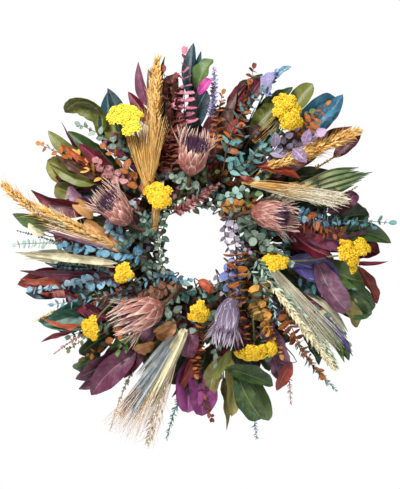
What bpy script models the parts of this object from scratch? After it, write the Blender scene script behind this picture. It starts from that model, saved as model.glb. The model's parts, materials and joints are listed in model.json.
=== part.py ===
"""Harvest door wreath: dried and preserved stems wired to a grapevine ring.

Four vine strands are twisted into a ring. The stems stand on it in six fans,
one in front of the other, and flower heads sit in front of the fans. A wire
loop, hinged in an eye behind the top of the ring, hangs on a door hook.

Frame: metres, +Z up, the front faces -Y. The origin is the inside of the
hanger loop's top, where a hook carries the wreath.
"""
import math
from collections import namedtuple

import bmesh
import bpy
from mathutils import Matrix, Vector

# Grapevine ring
RING_RADIUS = 0.090
STRAND_COUNT = 4
STRAND_RADIUS = 0.0070
STRAND_TURNS = 4
STRAND_GAP = 0.0008
STRAND_SEGMENTS = 44
STRAND_SIDES = 5

# Wire ties round the vines, and the hanger behind the top of the ring
TIE_WIRE_RADIUS = 0.0010
TIE_CLEARANCE = 0.0005
TIE_ANGLES_DEG = (28.0, 148.0, 268.0)
EYE_RADIUS = 0.0050
EYE_BITE = 0.0005
HANGER_WIRE_RADIUS = 0.0013
HANGER_WIDTH = 0.026
HANGER_HEIGHT = 0.038
HANGER_CORNER_RADIUS = 0.006

# Fans of stems, from the back fan to the front fan
FAN_COUNT = 6
FAN_FIRST_ROOT_DEG = -5.0
FAN_ROOT_STEP_DEG = 26.0
FAN_BACK_HEIGHT = 0.008
FAN_PITCH = 0.0120
FAN_RISE_END = 0.060
FAN_FIRST_SLOPE = 0.02
FAN_SLOPE_STEP = 0.025
STALK_RADIUS = 0.0020
STALK_SEAT_GAP = 0.0004
BLADE_THICKNESS = 0.0056

# Flower heads
PROTEA_LENGTH = 0.074
PROTEA_RADIUS = 0.030
PROTEA_TILT_DEG = 10.0
HEAD_CLEARANCE = 0.0020
YARROW_DEPTH = 0.015
ROUND_SIDES = 10

Stem = namedtuple("Stem", "name fan start end reach blade width colour")
Head = namedtuple("Head", "name start end reach size colour")

# Each stem: its name, its fan (0 is the back one), the compass angle at the
# ring and at the tip (degrees, 0 to the right, 90 up), how far the tip
# stands outside the ring's centre line, the length of its leafy part and the
# width of that part.
LEAVES = (
    Stem("leaf_teal_top", 0, 96, 91, 0.215, 0.080, 0.024, "#1F3F4A"),
    Stem("leaf_green_top", 1, 80, 69, 0.178, 0.095, 0.021, "#2F4A25"),
    Stem("leaf_burgundy_top_left", 0, 112, 108, 0.200, 0.070, 0.018, "#6B1F3A"),
    Stem("leaf_teal_upper_left", 1, 130, 120, 0.180, 0.080, 0.025, "#2B4A4C"),
    Stem("leaf_olive_upper_left", 0, 130, 133, 0.199, 0.066, 0.036, "#5F6A1E"),
    Stem("leaf_burgundy_upper_left", 2, 147, 140, 0.142, 0.078, 0.024, "#5A0F2A"),
    Stem("leaf_sage_upper_left", 1, 146, 143, 0.192, 0.066, 0.022, "#7A8030"),
    Stem("leaf_yellow_left", 0, 154, 151, 0.170, 0.070, 0.042, "#8C9A3A"),
    Stem("leaf_plum_left", 0, 176, 171, 0.194, 0.070, 0.027, "#6A3B55"),
    Stem("leaf_rust_left", 0, 196, 193, 0.191, 0.080, 0.032, "#9A2A20"),
    Stem("leaf_teal_lower_left", 1, 216, 208, 0.174, 0.100, 0.044, "#3F7A66"),
    Stem("leaf_maroon_lower_left", 0, 238, 231, 0.195, 0.100, 0.034, "#5A1F30"),
    Stem("leaf_purple_bottom", 1, 268, 267, 0.167, 0.085, 0.046, "#8A4F86"),
    Stem("leaf_tan_bottom", 0, 284, 279, 0.198, 0.080, 0.021, "#7E7A44"),
    Stem("leaf_green_bottom", 0, 290, 292, 0.202, 0.085, 0.033, "#3F6A3A"),
    Stem("leaf_mauve_lower_right", 2, 312, 307, 0.144, 0.080, 0.033, "#8A6A80"),
    Stem("leaf_sage_right", 0, 346, 338, 0.197, 0.080, 0.038, "#7F9A78"),
    Stem("leaf_burgundy_right", 0, 356, 357, 0.188, 0.060, 0.042, "#5A0F2A"),
    Stem("leaf_violet_right", 2, 350, 343, 0.131, 0.085, 0.042, "#5A4A8A"),
    Stem("leaf_green_right", 1, 8, 0, 0.203, 0.082, 0.031, "#2F4A25"),
    Stem("leaf_red_upper_right", 0, 41, 37, 0.204, 0.068, 0.020, "#7A1F18"),
    Stem("leaf_blue_upper_right", 0, 46, 45, 0.222, 0.085, 0.036, "#3A7088"),
    Stem("leaf_olive_upper_right", 0, 54, 54, 0.209, 0.070, 0.031, "#5F6A1E"),
)
PLUMES = (
    Stem("plume_gold_left", 1, 182, 163, 0.216, 0.190, 0.036, "#E0B060"),
    Stem("grass_gold_top", 1, 118, 102, 0.195, 0.165, 0.017, "#E0B060"),
    Stem("plume_gold_right", 1, 46, 35, 0.205, 0.150, 0.031, "#E0B060"),
    Stem("plume_mint_lower_right", 2, 334, 318, 0.189, 0.150, 0.022, "#CFE0BE"),
    Stem("spear_straw_right", 3, 36, 16, 0.141, 0.130, 0.017, "#E3C77F"),
    Stem("wheat_cream_bottom", 1, 256, 246, 0.194, 0.150, 0.022, "#E8E0C0"),
    Stem("awns_peach_bottom", 0, 258, 256, 0.223, 0.150, 0.036, "#D9A98C"),
)
PALMS = (
    Stem("palm_green_right", 2, 29, 22, 0.193, 0.140, 0.034, "#5E8A48"),
    Stem("palm_bleached_lower_right", 1, 338, 325, 0.196, 0.150, 0.036, "#D8CFA8"),
    Stem("palm_cream_left", 1, 190, 183, 0.183, 0.150, 0.020, "#E6DDB8"),
)
SPRIGS = (
    Stem("sprig_pink_top", 2, 97, 94, 0.193, 0.105, 0.024, "#D0708F"),
    Stem("sprig_rust_top", 2, 70, 72, 0.184, 0.115, 0.023, "#B5651D"),
    Stem("sprig_lilac_right", 3, 55, 43, 0.142, 0.090, 0.026, "#B59AC8"),
    Stem("sprig_blue_right", 2, 14, 6, 0.198, 0.130, 0.024, "#4F8F8F"),
    Stem("sprig_orange_bottom", 3, 326, 298, 0.083, 0.090, 0.022, "#C87828"),
    Stem("sprig_pale_blue_left", 2, 203, 196, 0.166, 0.125, 0.022, "#A9CFDC"),
)

# Each head: its name, the compass angles of its stalk's root and of its far
# end or middle, how far that stands outside the ring's centre line, and the
# head's width over the standard head's width.
PROTEAS = (
    Head("protea_top", 99, 88.5, 0.084, 1.00, "#D8A79C"),
    Head("protea_left", 168, 151, 0.082, 0.95, "#C98F84"),
    Head("protea_right", 34, 12, 0.068, 0.90, "#C98F84"),
    Head("protea_lower_left", 247, 224, 0.087, 1.00, "#C98F84"),
    Head("protea_bottom", 308, 282, 0.070, 0.88, "#A893A8"),
)
YARROW_RADIUS = 0.025
YARROWS = (
    Head("yarrow_upper_left", 121, 119, 0.134, 1.00, "#F5E33A"),
    Head("yarrow_upper_right", 58, 56, 0.150, 0.96, "#F2C81E"),
    Head("yarrow_inner_left", 128, 128, 0.006, 0.80, "#F2C81E"),
    Head("yarrow_inner_right", 352, 350, 0.030, 0.80, "#E8B80F"),
    Head("yarrow_right", 344, 357, 0.140, 0.92, "#F2C81E"),
    Head("yarrow_bottom", 318, 296, 0.098, 0.88, "#E8B80F"),
    Head("yarrow_lower_left", 211, 218, 0.114, 0.68, "#E8B80F"),
)

# What follows from the driving dimensions
LAY = math.atan(STRAND_TURNS * 2 * STRAND_RADIUS / RING_RADIUS)
STRAND_ORBIT = (STRAND_RADIUS + STRAND_GAP / 2) / (
    math.sin(math.pi / STRAND_COUNT) * math.cos(LAY)
)
BUNDLE_RADIUS = STRAND_ORBIT + STRAND_RADIUS
TIE_ORBIT = BUNDLE_RADIUS + TIE_CLEARANCE + TIE_WIRE_RADIUS
STALK_ORBIT = TIE_ORBIT + TIE_WIRE_RADIUS + STALK_SEAT_GAP + STALK_RADIUS
HINGE = Vector((0.0, 0.0, HANGER_WIRE_RADIUS - HANGER_HEIGHT))
CENTRE = HINGE + Vector((0.0, EYE_BITE - EYE_RADIUS - TIE_ORBIT, -RING_RADIUS))


def linear(hex_colour):
    """The linear RGBA of an sRGB hex colour."""
    found = []
    for place in (1, 3, 5):
        value = int(hex_colour[place:place + 2], 16) / 255
        low = value <= 0.04045
        found.append(value / 12.92 if low else ((value + 0.055) / 1.055) ** 2.4)
    return (*found, 1.0)


def material(name, hex_colour, roughness, metallic=0.0):
    """A Principled BSDF material of one colour."""
    made = bpy.data.materials.new(name)
    made.use_nodes = True
    shader = made.node_tree.nodes["Principled BSDF"]
    shader.inputs["Base Color"].default_value = linear(hex_colour)
    shader.inputs["Roughness"].default_value = roughness
    shader.inputs["Metallic"].default_value = metallic
    return made


def add_object(name, mesh, finish, parent):
    """One named object for one sub-part, riding on the given empty."""
    mesh.materials.append(finish)
    mesh.shade_smooth()
    mesh.set_sharp_from_angle(angle=math.radians(40))
    made = bpy.data.objects.new(name, mesh)
    bpy.context.scene.collection.objects.link(made)
    made.parent = parent
    made.matrix_parent_inverse = parent.matrix_world.inverted()
    return made


def polar(radius, angle, forward):
    """A point by its distance from the wreath's middle, its compass angle in
    radians and its distance in front of the ring's plane."""
    across = math.cos(angle) * radius
    up = math.sin(angle) * radius
    return CENTRE + Vector((across, -forward, up))


def ring_mesh(name, rings, poles=None):
    """A closed skin over rings of points: from pole to pole, or all the way
    round where there are no poles."""
    shape = bmesh.new()
    loops = [[shape.verts.new(p) for p in ring] for ring in rings]
    count = len(loops[0])
    pairs = list(zip(loops, loops[1:]))
    if poles is None:
        pairs.append((loops[-1], loops[0]))
    for one, other in pairs:
        for i in range(count):
            j = (i + 1) % count
            shape.faces.new((one[i], one[j], other[j], other[i]))
    if poles is not None:
        for loop, pole in ((loops[0], poles[0]), (loops[-1], poles[1])):
            end = shape.verts.new(pole)
            for i in range(count):
                shape.faces.new((loop[i], end, loop[(i + 1) % count]))
    bmesh.ops.triangulate(shape, faces=shape.faces)
    bmesh.ops.recalc_face_normals(shape, faces=shape.faces)
    mesh = bpy.data.meshes.new(name)
    shape.to_mesh(mesh)
    shape.free()
    return mesh


def oval(middle, wide, thick, sides):
    """Points round an oval whose half axes are the vectors wide and thick."""
    steps = [2 * math.pi * i / sides for i in range(sides)]
    return [middle + wide * math.cos(a) + thick * math.sin(a) for a in steps]


def closed_wire(name, path, radius, sides, normal_of):
    """A round wire along a closed path; normal_of gives the sideways
    direction at each point's index."""
    rings = []
    count = len(path)
    for i, middle in enumerate(path):
        along = (path[(i + 1) % count] - path[i - 1]).normalized()
        side = normal_of(i)
        side = (side - along * side.dot(along)).normalized()
        rings.append(oval(middle, side * radius, along.cross(side) * radius, sides))
    return ring_mesh(name, rings)


def vine_strand(number):
    """One strand, wound round the ring's centre line."""
    phase = 2 * math.pi * number / STRAND_COUNT
    path = []
    outward = []
    for i in range(STRAND_SEGMENTS):
        turn = 2 * math.pi * i / STRAND_SEGMENTS
        wind = STRAND_TURNS * turn + phase
        out = math.cos(wind) * STRAND_ORBIT
        forward = math.sin(wind) * STRAND_ORBIT
        path.append(polar(RING_RADIUS + out, turn, forward))
        outward.append(path[-1] - polar(RING_RADIUS, turn, 0.0))
    name = f"vine_strand_{number + 1}"
    return name, closed_wire(name, path, STRAND_RADIUS, STRAND_SIDES, outward.__getitem__)


def circle_wire(name, middle, one, other, radius, wire, segments, first=0.0):
    """A wire ring in the plane of the unit vectors one and other, whose first
    joint stands a share of a segment past one."""
    steps = [2 * math.pi * (i + first) / segments for i in range(segments)]
    outs = [one * math.cos(a) + other * math.sin(a) for a in steps]
    path = [middle + out * radius for out in outs]
    return closed_wire(name, path, wire, 6, outs.__getitem__)


def wire_tie(name, angle):
    """A wire tie round the vine bundle at one compass angle."""
    outward = Vector((math.cos(angle), 0.0, math.sin(angle)))
    forward = Vector((0.0, -1.0, 0.0))
    middle = polar(RING_RADIUS, angle, 0.0)
    return circle_wire(name, middle, outward, forward, TIE_ORBIT, TIE_WIRE_RADIUS, 20)


def join_with(made, other_mesh):
    """Join a second closed mesh to an object, as one body."""
    helper = bpy.data.objects.new(made.name + "_part", other_mesh)
    bpy.context.scene.collection.objects.link(helper)
    helper.hide_render = True
    helper.display_type = "WIRE"
    helper.parent = made.parent
    helper.matrix_parent_inverse = made.matrix_parent_inverse
    union = made.modifiers.new("union", "BOOLEAN")
    union.operation = "UNION"
    union.object = helper


def hanger_loop_path():
    """The loop's centre line: a straight bar through the eye, two rounded
    corners and a half circle on top, each point with its outward side."""
    half = HANGER_WIDTH / 2
    corner = HANGER_CORNER_RADIUS
    arcs = (
        (half - corner, corner, corner, -90, 0, 4),
        (0.0, HANGER_HEIGHT - half, half, 0, 180, 12),
        (corner - half, corner, corner, 180, 270, 4),
    )
    path = []
    outward = []
    for across, up, radius, first, last, steps in arcs:
        middle = HINGE + Vector((across, 0.0, up))
        for i in range(steps + 1):
            angle = math.radians(first + (last - first) * i / steps)
            out = Vector((math.cos(angle), 0.0, math.sin(angle)))
            path.append(middle + out * radius)
            outward.append(out)
    return path, outward


def fan_profile(fan):
    """How a fan's stems leave the ring: points (radius, forward) that start
    square to the vines, bend outwards and run on in a straight line."""
    root = math.radians(FAN_FIRST_ROOT_DEG + FAN_ROOT_STEP_DEG * fan)
    square = Vector((math.cos(root), math.sin(root)))
    start = Vector((RING_RADIUS, 0.0)) + square * STALK_ORBIT
    height = FAN_BACK_HEIGHT + FAN_PITCH * fan
    end = Vector((RING_RADIUS + FAN_RISE_END, height))
    slope = Vector((1.0, FAN_FIRST_SLOPE + FAN_SLOPE_STEP * fan))
    rise = max(height - start.y, FAN_PITCH / 2)
    first = start + square * rise * 0.9
    second = end - slope * FAN_RISE_END * 0.4
    points = [cubic(start, first, second, end, i / 16) for i in range(17)]
    return points + [end + slope * 0.30]


def cubic(a, b, c, d, t):
    """A point on a cubic curve with end points a and d."""
    s = 1 - t
    return a * s ** 3 + b * 3 * s * s * t + c * 3 * s * t * t + d * t ** 3


def at_length(points, distance):
    """The point at a distance along a line of points."""
    for one, other in zip(points, points[1:]):
        step = (other - one).length
        if distance <= step:
            return one.lerp(other, distance / step)
        distance -= step
    return points[-1]


def length_to_radius(points, radius):
    """The length along a profile up to where it reaches a radius for good."""
    total = 0.0
    for one, other in zip(points, points[1:]):
        step = (other - one).length
        if one.x <= radius < other.x:
            return total + step * (radius - one.x) / (other.x - one.x)
        total += step
    return total


def leaf_outline(s):
    """Half width of a broad pointed leaf, as a share, along its blade."""
    return math.sin(math.pi * s ** 0.85) ** 0.8


def plume_outline(s):
    """Half width of a feathery plume or a grass head."""
    return (0.30 + 0.70 * math.sin(math.pi * min(1.0, s * 0.9 + 0.1))) * (1 - s ** 6)


def palm_outline(s):
    """Half width of a pleated palm spear, widest near its cut end."""
    return min(s ** 0.7 * 1.15, 1.0) if s < 0.85 else 1.0 - (s - 0.85) * 3.6


def sprig_outline(s):
    """Half width of a sprig of paired leaves, smaller towards the tip."""
    pairs = abs(math.sin(math.pi * 4.5 * s))
    return (0.35 + 0.65 * pairs) * (1.0 - 0.35 * s)


# outline, rings on the blade, thickness over the standard blade's
HABITS = {
    "leaf": (leaf_outline, 7, 1.0),
    "plume": (plume_outline, 8, 1.2),
    "palm": (palm_outline, 7, 1.1),
    "sprig": (sprig_outline, 14, 1.0),
}
STALK_RINGS = 4


def stem_mesh(stem, habit):
    """A stalk that widens into its leafy part, as one tapered solid."""
    outline, blade_rings, share = HABITS[habit]
    profile = fan_profile(stem.fan)
    total = length_to_radius(profile, RING_RADIUS + stem.reach)
    foot = max(total - stem.blade, STALK_RADIUS * 2)
    start, end = math.radians(stem.start), math.radians(stem.end)

    def place(distance):
        out = at_length(profile, distance)
        return polar(out.x, start + (end - start) * distance / total, out.y)

    marks = [(foot * i / STALK_RINGS, 0.0) for i in range(1, STALK_RINGS + 1)]
    for i in range(1, blade_rings + 1):
        s = i / (blade_rings + 1)
        marks.append((foot + (total - foot) * s, max(outline(s), 0.0)))
    rings = []
    for distance, swell in marks:
        middle = place(distance)
        along = (place(distance + 0.001) - place(distance - 0.001)).normalized()
        angle = math.atan2(middle.z - CENTRE.z, middle.x - CENTRE.x)
        sideways = Vector((-math.sin(angle), 0.0, math.cos(angle)))
        sideways = (sideways - along * sideways.dot(along)).normalized()
        wide = max(STALK_RADIUS, stem.width / 2 * swell)
        fuller = min(1.0, wide / (BLADE_THICKNESS * 1.5))
        thick = STALK_RADIUS + (BLADE_THICKNESS * share / 2 - STALK_RADIUS) * fuller
        front = along.cross(sideways)
        rings.append(oval(middle, sideways * wide, front * thick, 4))
    return ring_mesh(stem.name, rings, (place(0.0), place(total)))


def turned_along(name, path, radii):
    """A round body along a line of points, closed at both ends."""
    rings = []
    for i in range(1, len(path) - 1):
        along = (path[i + 1] - path[i - 1]).normalized()
        side = along.cross(Vector((0.0, 0.0, 1.0)))
        if side.length < 0.2:
            side = along.cross(Vector((1.0, 0.0, 0.0)))
        side.normalize()
        other = along.cross(side)
        rings.append(oval(path[i], side * radii[i], other * radii[i], ROUND_SIDES))
    return ring_mesh(name, rings, (path[0], path[-1]))


# along the head, its radius as a share of the widest
PROTEA_SHAPE = ((0.00, 0.20), (0.10, 0.50), (0.30, 0.85), (0.58, 1.0), (0.82, 0.90), (0.96, 0.5))


def head_front():
    """How far in front of the ring's plane the stems behind a head reach."""
    flat_fans = FAN_COUNT - 2
    height = FAN_BACK_HEIGHT + FAN_PITCH * (flat_fans - 1)
    slope = FAN_FIRST_SLOPE + FAN_SLOPE_STEP * (flat_fans - 1)
    return height + slope * FAN_RISE_END + BLADE_THICKNESS / 2 + HEAD_CLEARANCE


def stalk_root(fan):
    """Where a stalk of the given fan meets the ring, as (radius, forward),
    and the direction square to the vines there."""
    root = math.radians(FAN_FIRST_ROOT_DEG + FAN_ROOT_STEP_DEG * fan)
    square = Vector((math.cos(root), math.sin(root)))
    return Vector((RING_RADIUS, 0.0)) + square * STALK_ORBIT, square


def protea_mesh(head):
    """A flower head that points outwards, on a short stalk from the ring's
    inner side."""
    radius = PROTEA_RADIUS * head.size
    length = PROTEA_LENGTH * head.size
    tilt = math.radians(PROTEA_TILT_DEG)
    lean = Vector((math.cos(tilt), math.sin(tilt)))
    tip_radius = RING_RADIUS + head.reach
    base = Vector((tip_radius - length * lean.x, head_front() + radius))
    root, square = stalk_root(FAN_COUNT - 1)
    start, end = math.radians(head.start), math.radians(head.end)
    spread = tip_radius - root.x

    def place(out):
        share = max(0.0, out.x - root.x) / spread
        return polar(out.x, start + (end - start) * share, out.y)

    lift = (base.y - root.y) * 0.8
    stalk = [
        cubic(root, root + square * lift, base - lean * 0.012, base, i / 4)
        for i in range(5)
    ]
    path = [place(p) for p in stalk[:4]]
    radii = [STALK_RADIUS * 1.5] * 4
    foot, tip = place(base), place(base + lean * length)
    for share, wide in PROTEA_SHAPE:
        path.append(foot.lerp(tip, share))
        radii.append(radius * wide)
    path.append(tip)
    radii.append(0.0)
    return turned_along(head.name, path, radii)


# distance behind the crown over the head's depth, and radius over the widest
YARROW_SHAPE = ((1.0, 0.16), (0.62, 0.72), (0.38, 1.0), (0.16, 0.90), (0.03, 0.50))


def yarrow_mesh(head):
    """A domed flower head that faces forward, on a bent stalk."""
    radius = YARROW_RADIUS * head.size
    crown = Vector((RING_RADIUS + head.reach, head_front() + YARROW_DEPTH + HEAD_CLEARANCE))
    neck = crown - Vector((0.0, YARROW_DEPTH))
    root, square = stalk_root(FAN_COUNT - 2)
    start, end = math.radians(head.start), math.radians(head.end)

    def place(out):
        share = min(1.0, max(0.0, (out.x - root.x) / (crown.x - root.x)))
        return polar(out.x, start + (end - start) * share, out.y)

    bend = Vector((-0.30 * (neck.x - root.x), -0.002))
    lift = (neck.y - root.y) * 0.8
    stalk = [cubic(root, root + square * lift, neck + bend, neck, i / 5) for i in range(6)]
    path = [place(p) for p in stalk[:5]]
    radii = [STALK_RADIUS] * 5
    for behind, wide in YARROW_SHAPE:
        path.append(place(crown - Vector((0.0, YARROW_DEPTH * behind))))
        radii.append(radius * wide)
    path.append(place(crown))
    radii.append(0.0)
    return turned_along(head.name, path, radii)


def clear_scene():
    """Remove every object that the new file came with."""
    for old in list(bpy.data.objects):
        bpy.data.objects.remove(old, do_unlink=True)


def empty_at(name, place):
    """An empty that carries the pieces of one moving body."""
    made = bpy.data.objects.new(name, None)
    made.location = place
    bpy.context.scene.collection.objects.link(made)
    return made


def add_ring(parent):
    """The four vine strands and the wire ties round them."""
    bark = material("grapevine bark", "#5A3A28", 0.85)
    wire = material("florist wire", "#5E4A32", 0.45, 0.8)
    for number in range(STRAND_COUNT):
        name, mesh = vine_strand(number)
        add_object(name, mesh, bark, parent)
    for number, degrees in enumerate(TIE_ANGLES_DEG):
        name = f"wire_tie_{number + 1}"
        add_object(name, wire_tie(name, math.radians(degrees)), wire, parent)


def add_hanger(parent, swinging):
    """The tie with its eye behind the top of the ring, and the loop in it."""
    steel = material("galvanised wire", "#8A8C8E", 0.40, 1.0)
    top = math.pi / 2
    tie = add_object("hanger_tie", wire_tie("hanger_tie", top), steel, parent)
    back, up = Vector((0.0, 1.0, 0.0)), Vector((0.0, 0.0, 1.0))
    eye = circle_wire("eye", HINGE, back, up, EYE_RADIUS, TIE_WIRE_RADIUS, 14, 0.5)
    join_with(tie, eye)
    path, outward = hanger_loop_path()
    wire = HANGER_WIRE_RADIUS
    loop = closed_wire("hanger_loop", path, wire, 6, outward.__getitem__)
    loop.transform(Matrix.Translation(-HINGE))
    add_object("hanger_loop", loop, steel, swinging).location = HINGE


def add_stems(parent):
    """Every stem of the six fans, each with its own colour."""
    groups = (("leaf", LEAVES), ("plume", PLUMES), ("palm", PALMS), ("sprig", SPRIGS))
    for habit, stems in groups:
        for stem in stems:
            finish = material(stem.name, stem.colour, 0.65)
            add_object(stem.name, stem_mesh(stem, habit), finish, parent)


def add_heads(parent):
    """The flower heads in front of the fans."""
    for shape, heads in ((protea_mesh, PROTEAS), (yarrow_mesh, YARROWS)):
        for head in heads:
            finish = material(head.name, head.colour, 0.80)
            add_object(head.name, shape(head), finish, parent)


def main():
    clear_scene()
    wreath = empty_at("wreath", CENTRE)
    swinging = empty_at("hanger_hinge", HINGE)
    bpy.context.view_layer.update()
    add_ring(wreath)
    add_hanger(wreath, swinging)
    add_stems(wreath)
    add_heads(wreath)


main()
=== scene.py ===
"""Looks of the harvest door wreath: dried and dyed stems, flower heads and
straws on a twisted grapevine ring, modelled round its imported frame.

Places are in millimetres to the right of, above and in front of the middle of
the vine ring, written (across, up, forward), and turned to metres by place().
"""
import json
import math
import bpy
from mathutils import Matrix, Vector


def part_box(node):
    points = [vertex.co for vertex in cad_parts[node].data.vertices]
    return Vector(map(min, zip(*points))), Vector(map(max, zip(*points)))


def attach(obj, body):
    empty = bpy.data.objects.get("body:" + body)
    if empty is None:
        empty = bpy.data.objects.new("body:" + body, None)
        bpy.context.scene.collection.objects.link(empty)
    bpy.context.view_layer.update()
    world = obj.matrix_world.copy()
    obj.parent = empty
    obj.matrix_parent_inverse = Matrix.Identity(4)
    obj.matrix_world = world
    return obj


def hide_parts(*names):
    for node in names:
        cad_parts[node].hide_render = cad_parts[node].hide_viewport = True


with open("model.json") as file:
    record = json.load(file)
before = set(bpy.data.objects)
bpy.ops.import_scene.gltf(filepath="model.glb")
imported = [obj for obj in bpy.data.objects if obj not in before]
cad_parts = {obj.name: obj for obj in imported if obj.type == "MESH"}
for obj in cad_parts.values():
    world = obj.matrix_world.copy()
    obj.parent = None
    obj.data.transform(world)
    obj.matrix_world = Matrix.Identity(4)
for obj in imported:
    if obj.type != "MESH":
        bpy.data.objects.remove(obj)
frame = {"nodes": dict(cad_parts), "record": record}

import zlib
from collections import namedtuple
from functools import lru_cache

import bmesh
import bpy
import numpy as np
from bpy.props import FloatProperty, FloatVectorProperty, IntProperty, PointerProperty
from bpy.types import Operator, Panel, PropertyGroup
from mathutils import Vector

bl_info = {
    "name": "Harvest Door Wreath",
    "version": (1, 0, 0),
    "blender": (4, 5, 0),
    "location": "View3D > Sidebar > Wreath",
    "description": "Adds the stems, flower heads, vines and wires of a harvest door wreath",
    "category": "Add Mesh",
}

FRONT = np.array((0.0, -1.0, 0.0))
GOLDEN = math.pi * (3 - math.sqrt(5))
STRANDS = ("vine_strand_1", "vine_strand_2", "vine_strand_3", "vine_strand_4")


def ring_middle():
    """The middle of the vine ring, from the boxes of its strands."""
    boxes = [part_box(name) for name in STRANDS]
    low = np.min([b[0] for b in boxes], axis=0)
    high = np.max([b[1] for b in boxes], axis=0)
    return (low + high) / 2, (high[0] - low[0]) / 2, (high[1] - low[1]) / 2


MIDDLE, OUTER_RADIUS, BUNDLE = ring_middle()
RING = OUTER_RADIUS - BUNDLE
# how far out in the bundle of vines a stalk has its root
ROOT_REACH = 0.8
# rings of a CAD stem that belong to its stalk
STALK_RINGS = 5


# ---------------------------------------------------------------- colours

# key, name, hex colour, hex tint on old or sunny parts, what it is
COLOURS = (
    ("navy", "Navy leaves", "#17323C", "#2C5A66", "dyed magnolia blades"),
    ("green", "Green leaves", "#33532E", "#6A7E3A", "glycerined salal blades"),
    ("dark_green", "Dark green leaves", "#1E3618", "#46602C", "glycerined laurel blades"),
    ("burgundy", "Burgundy leaves", "#54081F", "#861A38", "dyed burgundy blades"),
    ("maroon", "Maroon leaves", "#4C1428", "#7C3450", "dyed maroon blades"),
    ("plum", "Plum leaves", "#56243E", "#884A68", "dyed plum blades"),
    ("olive", "Olive leaves", "#4E5618", "#84863A", "olive green blades"),
    ("sage", "Sage leaves", "#56602E", "#86884E", "pale sage blades"),
    ("yellow_green", "Yellow-green leaves", "#5E6024", "#948A3E", "yellowing blades"),
    ("rust", "Rust leaves", "#74201A", "#A8402A", "rust red blades"),
    ("brown", "Brown leaves", "#3A1D16", "#66402C", "dark brown blades"),
    ("ember", "Ember leaves", "#B4432A", "#D8743C", "orange red blades"),
    ("teal", "Teal-green leaves", "#2E6454", "#5A9A82", "dyed teal blades"),
    ("purple", "Purple leaves", "#742A62", "#A8589A", "dyed purple blades"),
    ("violet", "Violet leaves", "#3E366E", "#6A5EA4", "dyed violet blades"),
    ("mauve", "Mauve leaves", "#7A4E68", "#A87C92", "dyed mauve blades"),
    ("tan", "Tan leaves", "#7E7640", "#A49A5C", "dried tan blades"),
    ("blue", "Blue leaves", "#2A5A74", "#4A88A2", "dyed blue blades"),
    ("caramel", "Caramel leaves", "#9A6636", "#D6A46C", "dried caramel blades"),
    ("cream", "Cream leaves", "#DCD0A4", "#F2EACC", "bleached blades"),
    ("magenta", "Magenta petals", "#C83C9C", "#E870BC", "dyed magenta petals"),
    ("euc_teal", "Teal eucalyptus", "#3F7478", "#84B2AC", "preserved eucalyptus"),
    ("euc_blue", "Blue eucalyptus", "#3E7088", "#82AEBE", "preserved eucalyptus"),
    ("euc_pale", "Pale blue eucalyptus", "#6A9AB4", "#B4D2DC", "preserved eucalyptus"),
    ("euc_mint", "Mint eucalyptus", "#86AE9E", "#C8DED0", "preserved eucalyptus"),
    ("euc_sage", "Sage eucalyptus", "#667E70", "#A0B09C", "preserved eucalyptus"),
    ("euc_dark", "Dark sage eucalyptus", "#364E42", "#627C6C", "preserved eucalyptus"),
    ("euc_green", "Green eucalyptus", "#3E5C30", "#76925A", "preserved eucalyptus"),
    ("euc_pink", "Pink eucalyptus", "#B05470", "#DFA0B0", "dyed eucalyptus"),
    ("euc_brown", "Copper-brown eucalyptus", "#6C4230", "#A8785C", "dyed eucalyptus"),
    ("euc_rose", "Rose-brown eucalyptus", "#9A5C5C", "#D09C98", "dyed eucalyptus"),
    ("euc_rust", "Rust eucalyptus", "#84401A", "#B8722E", "dyed eucalyptus"),
    ("euc_orange", "Orange eucalyptus", "#9A4E1A", "#D08A3C", "dyed eucalyptus"),
    ("euc_gold", "Golden eucalyptus", "#B87A28", "#E4B45C", "dyed eucalyptus"),
    ("euc_red", "Dark red eucalyptus", "#5A201C", "#8C4434", "dyed eucalyptus"),
    ("euc_lilac", "Lilac-pink eucalyptus", "#9A7EA6", "#D2B2CC", "dyed eucalyptus"),
    ("euc_grey", "Grey-lilac eucalyptus", "#7A6C88", "#B8AABF", "dyed eucalyptus"),
    ("lilac", "Lilac florets", "#8E86AE", "#C0BCD8", "dried statice"),
    ("peri", "Periwinkle florets", "#7C8ED0", "#B4BEEC", "dried statice"),
    ("white", "White florets", "#AAA2B6", "#DCD6E0", "dried statice"),
    ("gold", "Gold straw", "#DCA048", "#F8DC90", "dried golden grass"),
    ("amber", "Amber straw", "#B87C30", "#E2B264", "dried golden grass"),
    ("bleached", "Bleached straw", "#DED2AE", "#F8F2DE", "bleached wheat"),
    ("ash", "Ash blades", "#8E979C", "#CCD0D0", "dyed grey grass"),
    ("peach", "Peach awns", "#DDB698", "#F4DECA", "dried peach grass"),
    ("mint_straw", "Mint plume", "#BCD0B0", "#EEF0D4", "bleached green grass"),
    ("palm", "Green palm", "#55703E", "#A4AE74", "green palm spear"),
    ("palm_pale", "Bleached palm", "#C4BC94", "#EAE4CA", "bleached palm spear"),
    ("protea", "Pink protea", "#A25E54", "#EAC8B8", "dried protea bracts"),
    ("protea_grey", "Grey-lilac protea", "#7E6A88", "#D6CADA", "dried protea bracts"),
    ("tuft", "Protea tuft", "#46203F", "#8A5680", "protea flower hairs"),
    ("yarrow", "Gold yarrow", "#E8B80A", "#FFE03A", "dried yarrow florets"),
    ("lemon", "Lemon yarrow", "#E8D020", "#FAF060", "dried yarrow florets"),
    ("stalk", "Green stalks", "#5A6440", "#8C9060", "peeled green stalks"),
    ("twig", "Brown twigs", "#5A4030", "#8A6A4C", "dried woody twigs"),
    ("bark", "Grapevine bark", "#4E3526", "#8A6A50", "stringy grapevine bark"),
)
# what the veins of a broad leaf and the midrib of a eucalyptus leaf pale to
DRY_VEIN = "#E1D7BF"
WAXY_RIB = "#E7E7DA"


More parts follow.
